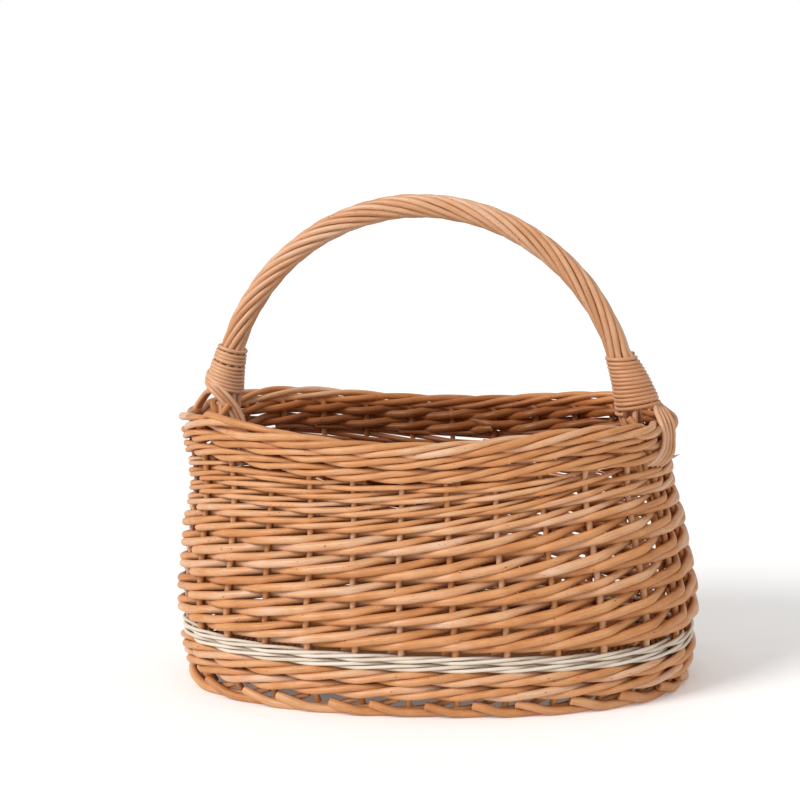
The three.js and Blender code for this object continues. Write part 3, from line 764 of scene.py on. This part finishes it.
def rod_material(name, tones, streak, speck, roughness, coat=0.12, bump=0.25):
    """Peeled rod: long grain, tone that differs from rod to rod, small dark specks and a satin skin, with
    painted shade on its flanks and inner side.
    """
    material, tree, shader = new_material(name)
    grain = attribute(tree, "grain", "Vector")
    slow = noise(tree, grain, scale=0.035, stretch=(0.5, 0.5, 1.0), detail=2.0)
    patch = noise(tree, grain, scale=0.16, stretch=(1.0, 1.0, 0.35), detail=3.0)
    fine = noise(tree, grain, scale=1.1, stretch=(1.0, 1.0, 0.07), detail=4.0, roughness=0.65)
    hair = noise(tree, grain, scale=3.2, stretch=(1.0, 1.0, 0.035), detail=2.0, roughness=0.5)

    place = plus(tree, attribute(tree, "tone"), centred(tree, slow, reach=1.1))
    place = plus(tree, place, centred(tree, patch, reach=0.5), clamp=True)
    steps = [i / (len(tones) - 1) for i in range(len(tones))]
    colour = ramp(tree, list(zip(steps, tones)), place)
    lines = ramp(tree, [(0.30, streak), (0.52, PLAIN), (0.75, LIGHT_LINE)], fine)
    colour = mix(tree, LINE_STRENGTH, colour, lines, "MULTIPLY")
    hairs = ramp(tree, [(0.32, HAIR_LINE), (0.46, PLAIN)], hair)
    colour = mix(tree, HAIR_STRENGTH, colour, hairs, "MULTIPLY")
    if speck > 0:
        colour = mix(tree, specks(tree, grain, scale=0.42, reach=0.2, share=speck), colour, SPECK)
        gathered = ramp(tree, [(0.46, (0.0, 0.0, 0.0)), (0.54, PLAIN)], patch)
        small = times(tree, specks(tree, grain, scale=0.7, reach=0.26, share=0.26), gathered)
        colour = mix(tree, small, colour, SMALL_SPECK)
    # Painted shade: the colour is made warmer and darker on the rods' flanks and inner sides, from the shade
    # mark
    colour = mix(tree, 1.0, colour, ramp(tree, PAINTED_SHADE_STEPS, attribute(tree, "shade")), "MULTIPLY")

    cut = attribute(tree, "cut")
    pith = math_node(tree, "SUBTRACT", cut, 1.0, clamp=True)
    face = mix(tree, pith, tones[len(tones) // 2], PITH)
    colour = mix(tree, times(tree, cut, CUT_STRENGTH, clamp=True), colour, face)
    tree.links.new(colour, shader.inputs["Base Color"])
    tree.links.new(plus(tree, roughness - 0.1, times(tree, fine, 0.2)), shader.inputs["Roughness"])
    shader.inputs["Specular IOR Level"].default_value = 0.35
    shader.inputs["Coat Weight"].default_value = coat
    shader.inputs["Coat Roughness"].default_value = 0.3

    height = plus(tree, times(tree, fine, 0.7), times(tree, hair, 0.4))
    height = plus(tree, height, times(tree, patch, 0.8))
    bumped = add_node(tree, "ShaderNodeBump", {"Strength": bump, "Distance": BUMP_DISTANCE, "Height": height})
    tree.links.new(bumped.outputs[0], shader.inputs["Normal"])
    return material


buff = rod_material("willow_buff", BUFF, STREAK, speck=0.16, roughness=0.42)
brown = rod_material("willow_brown", BROWN, STREAK, speck=0.12, roughness=0.44)
deep = rod_material("willow_deep", DEEP, STREAK, speck=0.10, roughness=0.46)
pale = rod_material("willow_pale", PALE, PALE_STREAK, speck=0.10, roughness=0.38, coat=0.2)
white = rod_material("cane_white", WHITE, WHITE_STREAK, speck=0.0, roughness=0.5, coat=0.05, bump=0.15)


# Stakes and border
def border_path(k):
    """Place, level and distance out of a stake's tip, as it rolls over and under its neighbours."""
    run = BORDER_RUN - (SHORTER_BEHIND_KINK if k + TIP_BEHIND_KINK in KINKS else 0)
    roll = np.arange(0, run, BORDER_STEP)
    turn = -math.pi / 2 + roll * np.pi / 2 + BORDER_TURN_STRAYS * wander(roll, [22, k], 1.1)
    wide = BORDER_HALF_WIDTH * (1 + BORDER_WIDTH_STRAYS * wander(roll, [23, k], 0.9))
    level = BORDER_CENTRE + BORDER_HALF_HEIGHT * np.sin(turn)
    out = BORDER_OUT + wide * np.cos(turn)
    start = BORDER_START
    if k in KINKS:
        top, start, kink_out = KINKS[k]
        over = roll < KINK_PLACES[-1]
        kink_levels = np.append(top - KINK_DROP, BORDER_CENTRE + BORDER_HALF_HEIGHT)
        kink_outs = np.append(kink_out * KINK_OUT_SHARE + KINK_OUT, BORDER_OUT)
        level[over] = np.interp(roll[over], KINK_PLACES, kink_levels)
        out[over] = np.interp(roll[over], KINK_PLACES, kink_outs)
    return k + start + roll, level, out


def add_cut_end(rods, foot, top, radius):
    """Short end of a border rod that stands up, slightly bowed."""
    share = np.linspace(0, 1, CUT_END_SAMPLES)[:, None]
    bow = CUT_END_BOW * np.sin(np.pi * share)
    rods.add(np.array([foot]) * (1 - share) + np.array([top]) * share + bow, radius, CUT_END_TONE)


def build_stakes():
    """Each stake runs from under the base through the wall, and its tip is rolled into the border."""
    for k in range(STAKES):
        lean = STAKE_LEAN * wander(STAKE_LEVELS / 60.0, [21, k], 1.0)
        standing = wall_point(k + lean, STAKE_LEVELS, STAKE_OUT)
        places, levels, outs = border_path(k)
        knots = np.concatenate([standing, wall_point(places, levels, outs)])
        along = along_length(knots)
        border_start = along[len(STAKE_LEVELS) - 1]
        t = np.linspace(0, along[-1], STAKE_SAMPLES)
        radius = stake_radius(np.interp(t, along, np.r_[STAKE_LEVELS, levels]))
        radius = np.where(t > border_start, BORDER_ROD, radius)
        taper = np.interp(t, [border_start, along[-1]], BORDER_TAPER)
        radius = radius * taper * (1 + STAKE_SIZE_VARIES * vary(24, k))
        rods = Rods()
        rods.add(smooth_knots(t, along, knots), radius, tone_of(25, k))
        if k in CUT_ENDS:
            add_cut_end(rods, *CUT_ENDS[k])
        rods.piece(f"stake_rod_{k + 1}", buff, f"stake_{k + 1}")


# Side weave
def last_row(rod):
    """Last row of a rod, always behind a stake."""
    past_end = (rod + STAKES // 2) % STAKES - STAKES // 2
    if past_end in SHORTEST_RODS:
        return MOST_ROWS - SHORTEST_BY
    return MOST_ROWS - SHORT_BY if past_end in SHORT_RODS else MOST_ROWS


def row_thickness(row, rod):
    """Thickness of a rod in a row. Upper rows are thinner, and no two rods are alike."""
    thick = LOW_ROW_THICKNESS - THINNER_ABOVE * smooth_step((row - THINNER_FROM_ROW) / THINNER_OVER_ROWS)
    strays = wander(row, [4, rod], 0.5)
    return thick * (1 + ROD_SIZE_VARIES * vary(3, rod) + ROD_SIZE_VARIES * strays)


def weave_rows():
    """Level and thickness of every rod at every stake that it passes, stacked without gaps."""
    table = {}
    for stake in range(STAKES):
        rows = [row for row in range(MOST_ROWS + 1) if row <= last_row((stake - row) % STAKES)]
        thick = [row_thickness(row, (stake - row) % STAKES) for row in rows]
        top = WEAVE_END + FAR_WEAVE_RISE * max(0.0, math.sin(angle_at(stake)))
        scale = (top - WEAVE_START) / sum(thick)
        level = WEAVE_START
        for row, size in zip(rows, thick):
            height = size * scale
            table[(stake - row) % STAKES, row] = (level + height * (0.5 + PAIR_SPREAD[row % 3]), height)
            level += height
    return table


def side_rod(rod, table):
    """Points and radii of a side rod, from its butt behind one stake to its tip behind another."""
    last = last_row(rod)
    knots = np.arange(last + 1)
    levels, sizes = np.array([table[rod, row] for row in knots]).T
    for _ in range(SMOOTHING_ROUNDS):
        levels[1:-1] = (levels[:-2] + 2 * levels[1:-1] + levels[2:]) / 4
        sizes[1:-1] = (sizes[:-2] + 2 * sizes[1:-1] + sizes[2:]) / 4
    start = -BUTT_LENGTH - BUTT_VARIES * np.random.default_rng([13, rod]).random()
    m = np.linspace(start, last + TIP_LENGTH, int((last + 0.5) * WEAVE_SAMPLES))

    def radius_at(m):
        near_tip = np.clip((m - last + TIP_TAPER_LENGTH) / (TIP_TAPER_LENGTH + TIP_LENGTH), 0, 1)
        return smooth_knots(np.clip(m, 0, last), knots, sizes) / 2 * ROD_FILL * (1 - TIP_TAPER * near_tip)

    def place(m):
        level = smooth_knots(np.clip(m, 0, last), knots, levels)
        level = level + ROD_LEVEL_STRAYS * wander(m, [11, rod], 0.9)
        reach = stake_radius(level) + radius_at(m) * ROD_HUG
        out = reach * side_of_stakes(m) + ROD_OUT_STRAYS * wander(m, [12, rod], 0.8)
        return wall_point(rod + m, level, out)

    bends = place(knots)
    straight = np.stack([np.interp(m, knots, bends[:, i]) for i in range(3)], -1)
    stiff = np.where((m >= 0) & (m <= last), STIFFNESS, 0)[:, None]
    return place(m) * (1 - stiff) + straight * stiff, radius_at(m)


def build_side_weave():
    """French randing, with as many rods in a piece as the solids have in a node."""
    table = weave_rows()
    for first in range(0, STAKES, RODS_PER_NODE):
        rods = Rods()
        for rod in range(first, first + RODS_PER_NODE):
            points, radius = side_rod(rod, table)
            rods.add(points, radius, tone_of(5, rod))
        numbers = f"{first + 1}_to_{first + RODS_PER_NODE}"
        rods.piece(f"weave_rods_{numbers}", buff, f"side_weave_rods_{numbers}")


# Wales
def add_torn_ends(rods):
    """Torn rod ends that stick out below the upper wale, and the splinter at the right-hand end."""
    u = np.linspace(0, 1, TORN_SAMPLES)
    upright = np.tile([0.0, 0.0, 1.0], (TORN_SAMPLES, 1))
    for s, level, run, drop in TORN_ENDS:
        path = wall_point(s + run * u, level - drop * u, TORN_OUT + TORN_CURL * u**2)
        radius = TORN_RADIUS * (1 - u) + TORN_TIP_RADIUS
        rods.add(path, radius, TORN_TONE, TORN_END_SIDES, tip=True, normals=upright, flatten=TORN_FLATNESS)
    flat = dict(normals=upright[:len(SPLINTER)], flatten=SPLINTER_FLATNESS)
    rods.add(SPLINTER, SPLINTER_RADII, SPLINTER_TONE, TORN_END_SIDES, tip=True, **flat)


def build_wale(name, material):
    """Three rods that go round twice from the seam. They climb to the second round just before the seam."""
    wale = WALES[name]
    height = wale["round"]
    t = np.arange(-WALE_SAMPLES, STAKES * WALE_ROUNDS * WALE_SAMPLES + 1) / WALE_SAMPLES
    turn = np.floor(t / STAKES)
    climb = turn + smooth_step((t - turn * STAKES - (STAKES - WALE_CLIMB_LENGTH)) / WALE_CLIMB_LENGTH)
    climb = np.clip(climb, 0, WALE_ROUNDS - 1)
    thicker = 1 + wale["far"] * np.clip(np.sin(angle_at(SEAM + t)), 0, 1)
    for strand in range(WALE_RODS):
        seed = [wale["seed"], strand]
        phase = np.mod(t - strand, 3)
        swing = smooth_knots(phase, HALF_SPACES, SWINGS)
        level = wale["start"] + height * (0.5 + climb) + swing * height * WALE_SWING
        level = level + WALE_LEVEL_STRAYS * wander(t, seed + [1], 0.8)
        size = height * wale["radius"] * (1 + WALE_SIZE_STRAYS * wander(t, seed + [2], 0.25)) * thicker
        out = (stake_radius(level) + size) * side_of_stakes(phase - 2)
        rods = Rods()
        rods.add(wall_point(SEAM + t, level, out), size, tone_of(*seed))
        if name == "upper_wale" and strand == 0:
            add_torn_ends(rods)
        rods.piece(f"{name}_strand_{strand + 1}", material, f"{name}_rod_{strand + 1}")


# Foot and base
def build_foot():
    """Foot border: thick rods from under the wale, along the floor, and up behind the next ones."""
    rods = Rods()
    for k in range(STAKES):
        rng = np.random.default_rng([31, k])
        t = np.linspace(rng.uniform(*FOOT_BUTT_REACH), FOOT_PLACES[-1], FOOT_SAMPLES)
        z = smooth_knots(t, FOOT_PLACES, FOOT_HEIGHTS) + FOOT_HEIGHT_STRAYS * wander(t, [32, k], 1.5)
        out = smooth_knots(t, FOOT_PLACES, FOOT_OUT) + FOOT_OUT_STRAYS * wander(t, [33, k], 1.5)
        size = FOOT_ROD * (1 + FOOT_SIZE_VARIES * rng.normal()) * np.interp(t, *FOOT_TAPER)
        points = wall_point(k + FOOT_START + FOOT_START_VARIES * rng.normal() + t, z, out)
        points[:, 2] = np.maximum(z, size)
        rods.add(points, size, tone_of(34, k))
        rods.add(wall_point(k, PEG_LEVELS, PEG_OUT), PEG_ROD, tone_of(35, k), THIN_ROD_SIDES)
    rods.piece("foot_rods", brown, "foot_border")


def base_place(share, s):
    """Place on the base, by share of the way from its middle line to its edge."""
    angle = angle_at(s)
    half_length = FOOT_HALF_LENGTH - BASE_INSET - BASE_LINE_HALF
    x, y = oval(half_length, FOOT_HALF_WIDTH - BASE_INSET, angle)
    line = np.clip(np.cos(angle) * BASE_LINE_SPREAD, -1, 1) * BASE_LINE_HALF
    return np.stack([line + x * share, y * share], -1)


def base_height(share):
    return BASE_Z + BASE_DOME * (1 - share**2)


def add_stick(rods, x, y, z, tone):
    path = np.stack(np.broadcast_arrays(x, y, z), -1)
    rods.add(path, BASE_STICK_ROD, tone, THIN_ROD_SIDES)


def build_base():
    """Base: oval rings of paired rods woven over ribs, slightly domed, with sticks along and across."""
    rods = Rods()
    t = np.arange(STAKES * BASE_WEAVE_SAMPLES + 1) / BASE_WEAVE_SAMPLES
    for ring in range(BASE_RINGS):
        share = BASE_FIRST_RING + (1 - BASE_FIRST_RING) * (ring + 0.5) / BASE_RINGS
        for strand in range(2):
            z = base_height(share) + BASE_WEAVE_SWING * np.cos(np.pi * (t + strand + ring))
            path = np.column_stack([base_place(share, t), z])
            rods.add(path, BASE_WEAVE_ROD, tone_of(41, ring, strand), BASE_WEAVE_SIDES)
    for k in range(STAKES):
        share = np.linspace(BASE_RIB_START, 1.0, BASE_RIB_SAMPLES)
        path = np.column_stack([base_place(share, k), base_height(share)])
        rods.add(path, BASE_RIB_ROD, tone_of(42, k), BASE_RIB_SIDES)
    along = np.linspace(-1, 1, STICK_SAMPLES)
    for y in LONG_STICKS_Y:
        z = BASE_Z + BASE_DOME - LONG_STICK_SINK
        add_stick(rods, LONG_STICK_HALF * along, y, z, tone_of(43, y + 20))
    for x in CROSS_STICKS_X:
        z = base_height(CROSS_STICK_HALF * along / CROSS_DOME_HALF) - CROSS_STICK_SINK
        add_stick(rods, x, CROSS_STICK_HALF * along, z, tone_of(44, x + 100))
    rods.piece("base_weave", deep, "base")


# Handle
def arch_angle(z, side):
    rise = math.asin((z - HANDLE_SPRING_Z) / HANDLE_RISE)
    return math.pi - rise if side < 0 else rise


def arch_frame(angle):
    """Centre and outward direction of the bow at an angle, from 0 at the right to a half turn at the left."""
    angle = np.asarray(angle, float)
    x = HANDLE_CENTRE_X + HANDLE_HALF_SPAN * np.cos(angle)
    z = HANDLE_SPRING_Z + HANDLE_RISE * np.sin(angle)
    zero = np.zeros_like(angle)
    return np.stack([x, zero, z], -1), np.stack([np.cos(angle), zero, np.sin(angle)], -1)


def handle_ends():
    """Angles at which the bow leaves the left and the right binding."""
    return [arch_angle(spec["low"] - BELOW_BINDING, spec["side"]) for spec in BINDINGS.values()]


def on_ring(centre, outward, radius, turn):
    """Points on a ring about the bow, where a turn of zero is the outside and a quarter turn the front."""
    front = np.array([0.0, -1.0, 0.0])
    radius = np.asarray(radius)[..., None]
    return centre + radius * (np.cos(turn)[..., None] * outward + np.sin(turn)[..., None] * front)


def of_binding(angle, key):
    """A value of the binding on the same side of the bow as each angle."""
    return np.where(np.cos(angle) < 0, BINDINGS["left"][key], BINDINGS["right"][key])


def down_binding(angle):
    """0 at a binding's top and above it, 1 at its foot and below."""
    z = HANDLE_SPRING_Z + HANDLE_RISE * np.sin(angle)
    low, high = of_binding(angle, "low"), of_binding(angle, "high")
    return np.clip((high - z) / (high - low), 0, 1)


def ring_radius(angle):
    """Radius of the ring on which the roping rods' centres lie. It widens down a binding."""
    return ROPE_RING + (of_binding(angle, "ring") - ROPE_RING) * down_binding(angle)


def roping_frame(angle):
    """Centre and outward direction of the roping, which leaves the bow's centre outwards down a binding."""
    centre, outward = arch_frame(angle)
    return centre + outward * (of_binding(angle, "lean") * down_binding(angle))[:, None], outward


def leg_points(end_stake):
    """Course of the bow's leg, down inside the end wall."""
    points = wall_point(end_stake, LEG_LEVELS, -LEG_DEPTH)
    points[:, 1] = 0
    return points


def build_bow():
    """Bow with its two legs, mostly hidden by the roping."""
    centre, _ = arch_frame(np.linspace(*handle_ends(), BOW_STEPS))
    knots = np.concatenate([leg_points(LEFT_END_STAKE)[::-1], centre, leg_points(RIGHT_END_STAKE)])
    rods = Rods()
    rods.add(resample(knots, BOW_SAMPLES), BOW_ROD, BOW_TONE, BOW_SIDES)
    rods.piece("bow_rod", pale, "handle_bow")


def left_tail(place):
    """Tail of the bundle that runs down into the middle of the border at the left."""
    y = LEFT_TAIL_APART * ((BUNDLE_RODS - 1) / 2 - place)
    return np.column_stack([LEFT_TAIL_X, y, LEFT_TAIL_Z])


def right_tail(place):
    """Tail over the border and the upper wale before the right-hand end, swept forwards below the wale."""
    count = len(RIGHT_TAIL)
    apart = [RIGHT_TAIL_APART_X, np.full(count, RIGHT_TAIL_APART_Y), np.full(count, RIGHT_TAIL_APART_Z)]
    return RIGHT_TAIL + np.stack(apart, -1) * (BUNDLE_RODS - 1 - place)


def inner_tail(side, angle, drop):
    """Tail that runs straight down beside the bow's leg."""
    binding = BINDINGS["left" if side < 0 else "right"]
    outward = np.array([float(side), 0.0, 0.0])
    seat, following = leg_points(LEFT_END_STAKE if side < 0 else RIGHT_END_STAKE)[:2]
    spring, _ = arch_frame(np.array(math.pi if side < 0 else 0.0))
    middle = spring + (seat - spring) * INNER_MIDDLE + outward * INNER_LEAN * binding["lean"]
    last = seat + (following - seat) * drop
    rings = (binding["ring"] - INNER_TIGHTER, ROPE_RING + INNER_WIDER, ROPE_RING)
    centres = (middle, seat, last)
    return np.array([on_ring(c, outward, ring, np.array(angle)) for c, ring in zip(centres, rings)])


def rope_tail(side, angle):
    """Tail of a roping rod below a binding: four rods cross the border, and five go down beside the leg."""
    place = round((angle + ROPE_START_ANGLE) / (2 * math.pi / ROPE_STRANDS)) % ROPE_STRANDS
    if place >= BUNDLE_RODS:
        return inner_tail(side, angle, INNER_DROP * (place % 3 + 1))
    return left_tail(place) if side < 0 else right_tail(place)


def twist_share(share):
    """How far the roping has wound. Near the right-hand end its rods lie steeper and wind less."""
    steps = np.linspace(0, 1, TWIST_STEPS)
    rate = np.interp(steps, TWIST_PLACES, TWIST_RATES)
    total = np.r_[0, np.cumsum((rate[1:] + rate[:-1]) / 2)]
    return np.interp(share, steps, total / total[-1])


def build_roping():
    """Nine rods wound round the bow together. Those of the right bundle turn to the front and get thinner."""
    start, end = handle_ends()
    share = np.linspace(0, 1, ROPE_STEPS)
    angle = start + (end - start) * share
    centre, outward = roping_frame(angle)
    ring = ring_radius(angle)
    full_turn = ROPE_TURNS * 2 * math.pi
    for i in range(ROPE_STRANDS):
        begin = 2 * math.pi / ROPE_STRANDS * i - ROPE_START_ANGLE
        turn = begin + twist_share(share) * full_turn + ROPE_TURN_STRAYS * wander(share * 20, [51, i], 0.7)
        end_place = round(i + ROPE_TURNS * ROPE_STRANDS) % ROPE_STRANDS
        in_bundle = end_place < BUNDLE_RODS
        if in_bundle:
            gather = math.radians(GATHER_TURNS[end_place])
            turn = turn + gather * smooth_step((share - GATHER_START) / GATHER_LENGTH)
        body = on_ring(centre, outward, ring + ROPE_RING_STRAYS * wander(share * 26, [54, i], 0.6), turn)
        body = body[1:-BUNDLE_LEAVES_EARLY] if in_bundle else body[1:-1]
        knots = np.concatenate([rope_tail(-1, begin)[::-1], body, rope_tail(1, begin + full_turn)])
        size = ROPE_ROD * (1 + ROPE_SIZE_VARIES * vary(52, i))
        if in_bundle:
            along = np.linspace(0, 1, ROPE_SAMPLES)
            size = size * (1 - BUNDLE_THINNER * smooth_step((along - THINNER_START) / THINNER_LENGTH))
        rods = Rods()
        rods.add(resample(knots, ROPE_SAMPLES), size, tone_of(53, i))
        if i == 0:
            for k in range(LEFT_WRAPS):
                path = resample(LEFT_WRAP + LEFT_WRAP_APART * k, WRAP_SAMPLES)
                rods.add(path, WRAP_ROD, tone_of(55, k), THIN_ROD_SIDES)
        rods.piece(f"rope_rod_{i + 1}", pale, f"handle_rope_rod_{i + 1}")


def build_binding(name):
    """One rod wound round the roping, from the binding's foot up."""
    spec = BINDINGS[name]
    side = spec["side"]
    start = arch_angle(spec["low"] + BINDING_ROD, side)
    end = arch_angle(spec["high"] - BINDING_ROD, side)
    wound = np.linspace(0, 1, int(spec["turns"] * BINDING_SAMPLES))
    share = np.interp(wound, *spec["marks"])
    share = share + BINDING_SHARE_STRAYS * wander(wound * 30, [61, side + 5], 1.0) * np.sin(np.pi * share)
    angle = start + (end - start) * share
    centre, outward = roping_frame(angle)
    low_tilt, high_tilt = spec["tilt"]
    tilt = np.radians(low_tilt + (high_tilt - low_tilt) * share)
    lifted = np.stack([side * np.cos(tilt), 0 * tilt, np.sin(tilt)], -1)
    radius = ring_radius(angle) + ROPE_ROD + BINDING_ROD * BINDING_SEAT
    radius = radius + BINDING_RING_STRAYS * wander(wound * 60, [62, side + 5], 1.0)
    points = on_ring(centre, lifted, radius, wound * spec["turns"] * 2 * math.pi + spec["start"])
    size = BINDING_ROD * (1 + BINDING_SIZE_STRAYS * wander(wound * 40, [63, side + 5], 1.0))
    rods = Rods()
    rods.add(points, size, spec["tone"])
    rods.piece(f"{name}_binding_rod", pale, f"{name}_binding")


# Camera and studio
def build_camera():
    azimuth, elevation, roll = (math.radians(v) for v in (CAMERA_AZIMUTH, CAMERA_ELEVATION, CAMERA_ROLL))
    away = math.cos(elevation)
    back = Vector((math.sin(azimuth) * away, -math.cos(azimuth) * away, math.sin(elevation)))
    level_right = Vector((0, 0, 1)).cross(back).normalized()
    level_up = back.cross(level_right)
    right = level_right * math.cos(roll) + level_up * math.sin(roll)
    up = level_up * math.cos(roll) - level_right * math.sin(roll)
    data = bpy.data.cameras.new("camera")
    data.lens = CAMERA_LENS
    data.sensor_width = SENSOR_WIDTH
    data.clip_start = 0.05
    data.clip_end = 50
    camera = put_in_scene("camera", data)
    spot = Vector(CAMERA_TARGET) + back * CAMERA_DISTANCE
    camera.matrix_world = Matrix.Translation(spot) @ Matrix((right, up, back)).transposed().to_4x4()
    bpy.context.scene.camera = camera


def sun_light(name, towards, energy, spread):
    """Soft sun that stands in a direction from the basket, with its spread in degrees."""
    data = bpy.data.lights.new(name, "SUN")
    data.energy = energy
    data.angle = math.radians(spread)
    lamp = put_in_scene(name, data)
    lamp.rotation_euler = (-Vector(towards)).to_track_quat("-Z", "Y").to_euler()


def floor_material():
    """White to the camera, and light grey to the basket."""
    material, tree, shader = new_material("floor_white")
    shader.inputs["Roughness"].default_value = 0.9
    shader.inputs["Specular IOR Level"].default_value = 0.0
    shader.inputs["Emission Color"].default_value = FLOOR_GLOW_COLOUR
    shader.inputs["Emission Strength"].default_value = FLOOR_GLOW
    path = add_node(tree, "ShaderNodeLightPath")
    grain = add_node(tree, "ShaderNodeTexNoise", {"Scale": FLOOR_GRAIN})
    tint = mix(tree, times(tree, grain.outputs["Fac"], FLOOR_GRAIN_SHARE), FLOOR_LIGHT, FLOOR_DARK)
    colour = mix(tree, path.outputs["Is Camera Ray"], tint, PLAIN)
    tree.links.new(colour, shader.inputs["Base Color"])
    return material


def build_floor():
    mesh = bpy.data.meshes.new("floor")
    corners = [(FLOOR_HALF * x, FLOOR_HALF * y, 0) for x, y in ((-1, -1), (1, -1), (1, 1), (-1, 1))]
    mesh.from_pydata(corners, [], [(0, 1, 2, 3)])
    mesh.materials.append(floor_material())
    floor = put_in_scene("floor", mesh)


def build_world():
    """Even white light, which the camera sees at full strength."""
    world = bpy.data.worlds.new("studio")
    bpy.context.scene.world = world
    world.use_nodes = True
    tree = world.node_tree
    background = tree.nodes["Background"]
    path = add_node(tree, "ShaderNodeLightPath")
    seen = math_node(tree, "MAXIMUM", path.outputs["Is Camera Ray"], path.outputs["Is Transmission Ray"])
    strength = plus(tree, WORLD_STRENGTH, times(tree, seen, 1 - WORLD_STRENGTH))
    background.inputs["Color"].default_value = (1, 1, 1, 1)
    tree.links.new(strength, background.inputs["Strength"])


build_stakes()
build_side_weave()
build_wale("lower_wale", buff)
build_wale("white_band", white)
build_wale("upper_wale", buff)
build_foot()
build_base()
build_bow()
build_roping()
build_binding("left")
build_binding("right")
build_camera()
build_floor()
build_world()
sun_light("key", **KEY_LIGHT)
sun_light("fill", **FILL_LIGHT)

scene = bpy.context.scene
scene.view_settings.view_transform = "Standard"
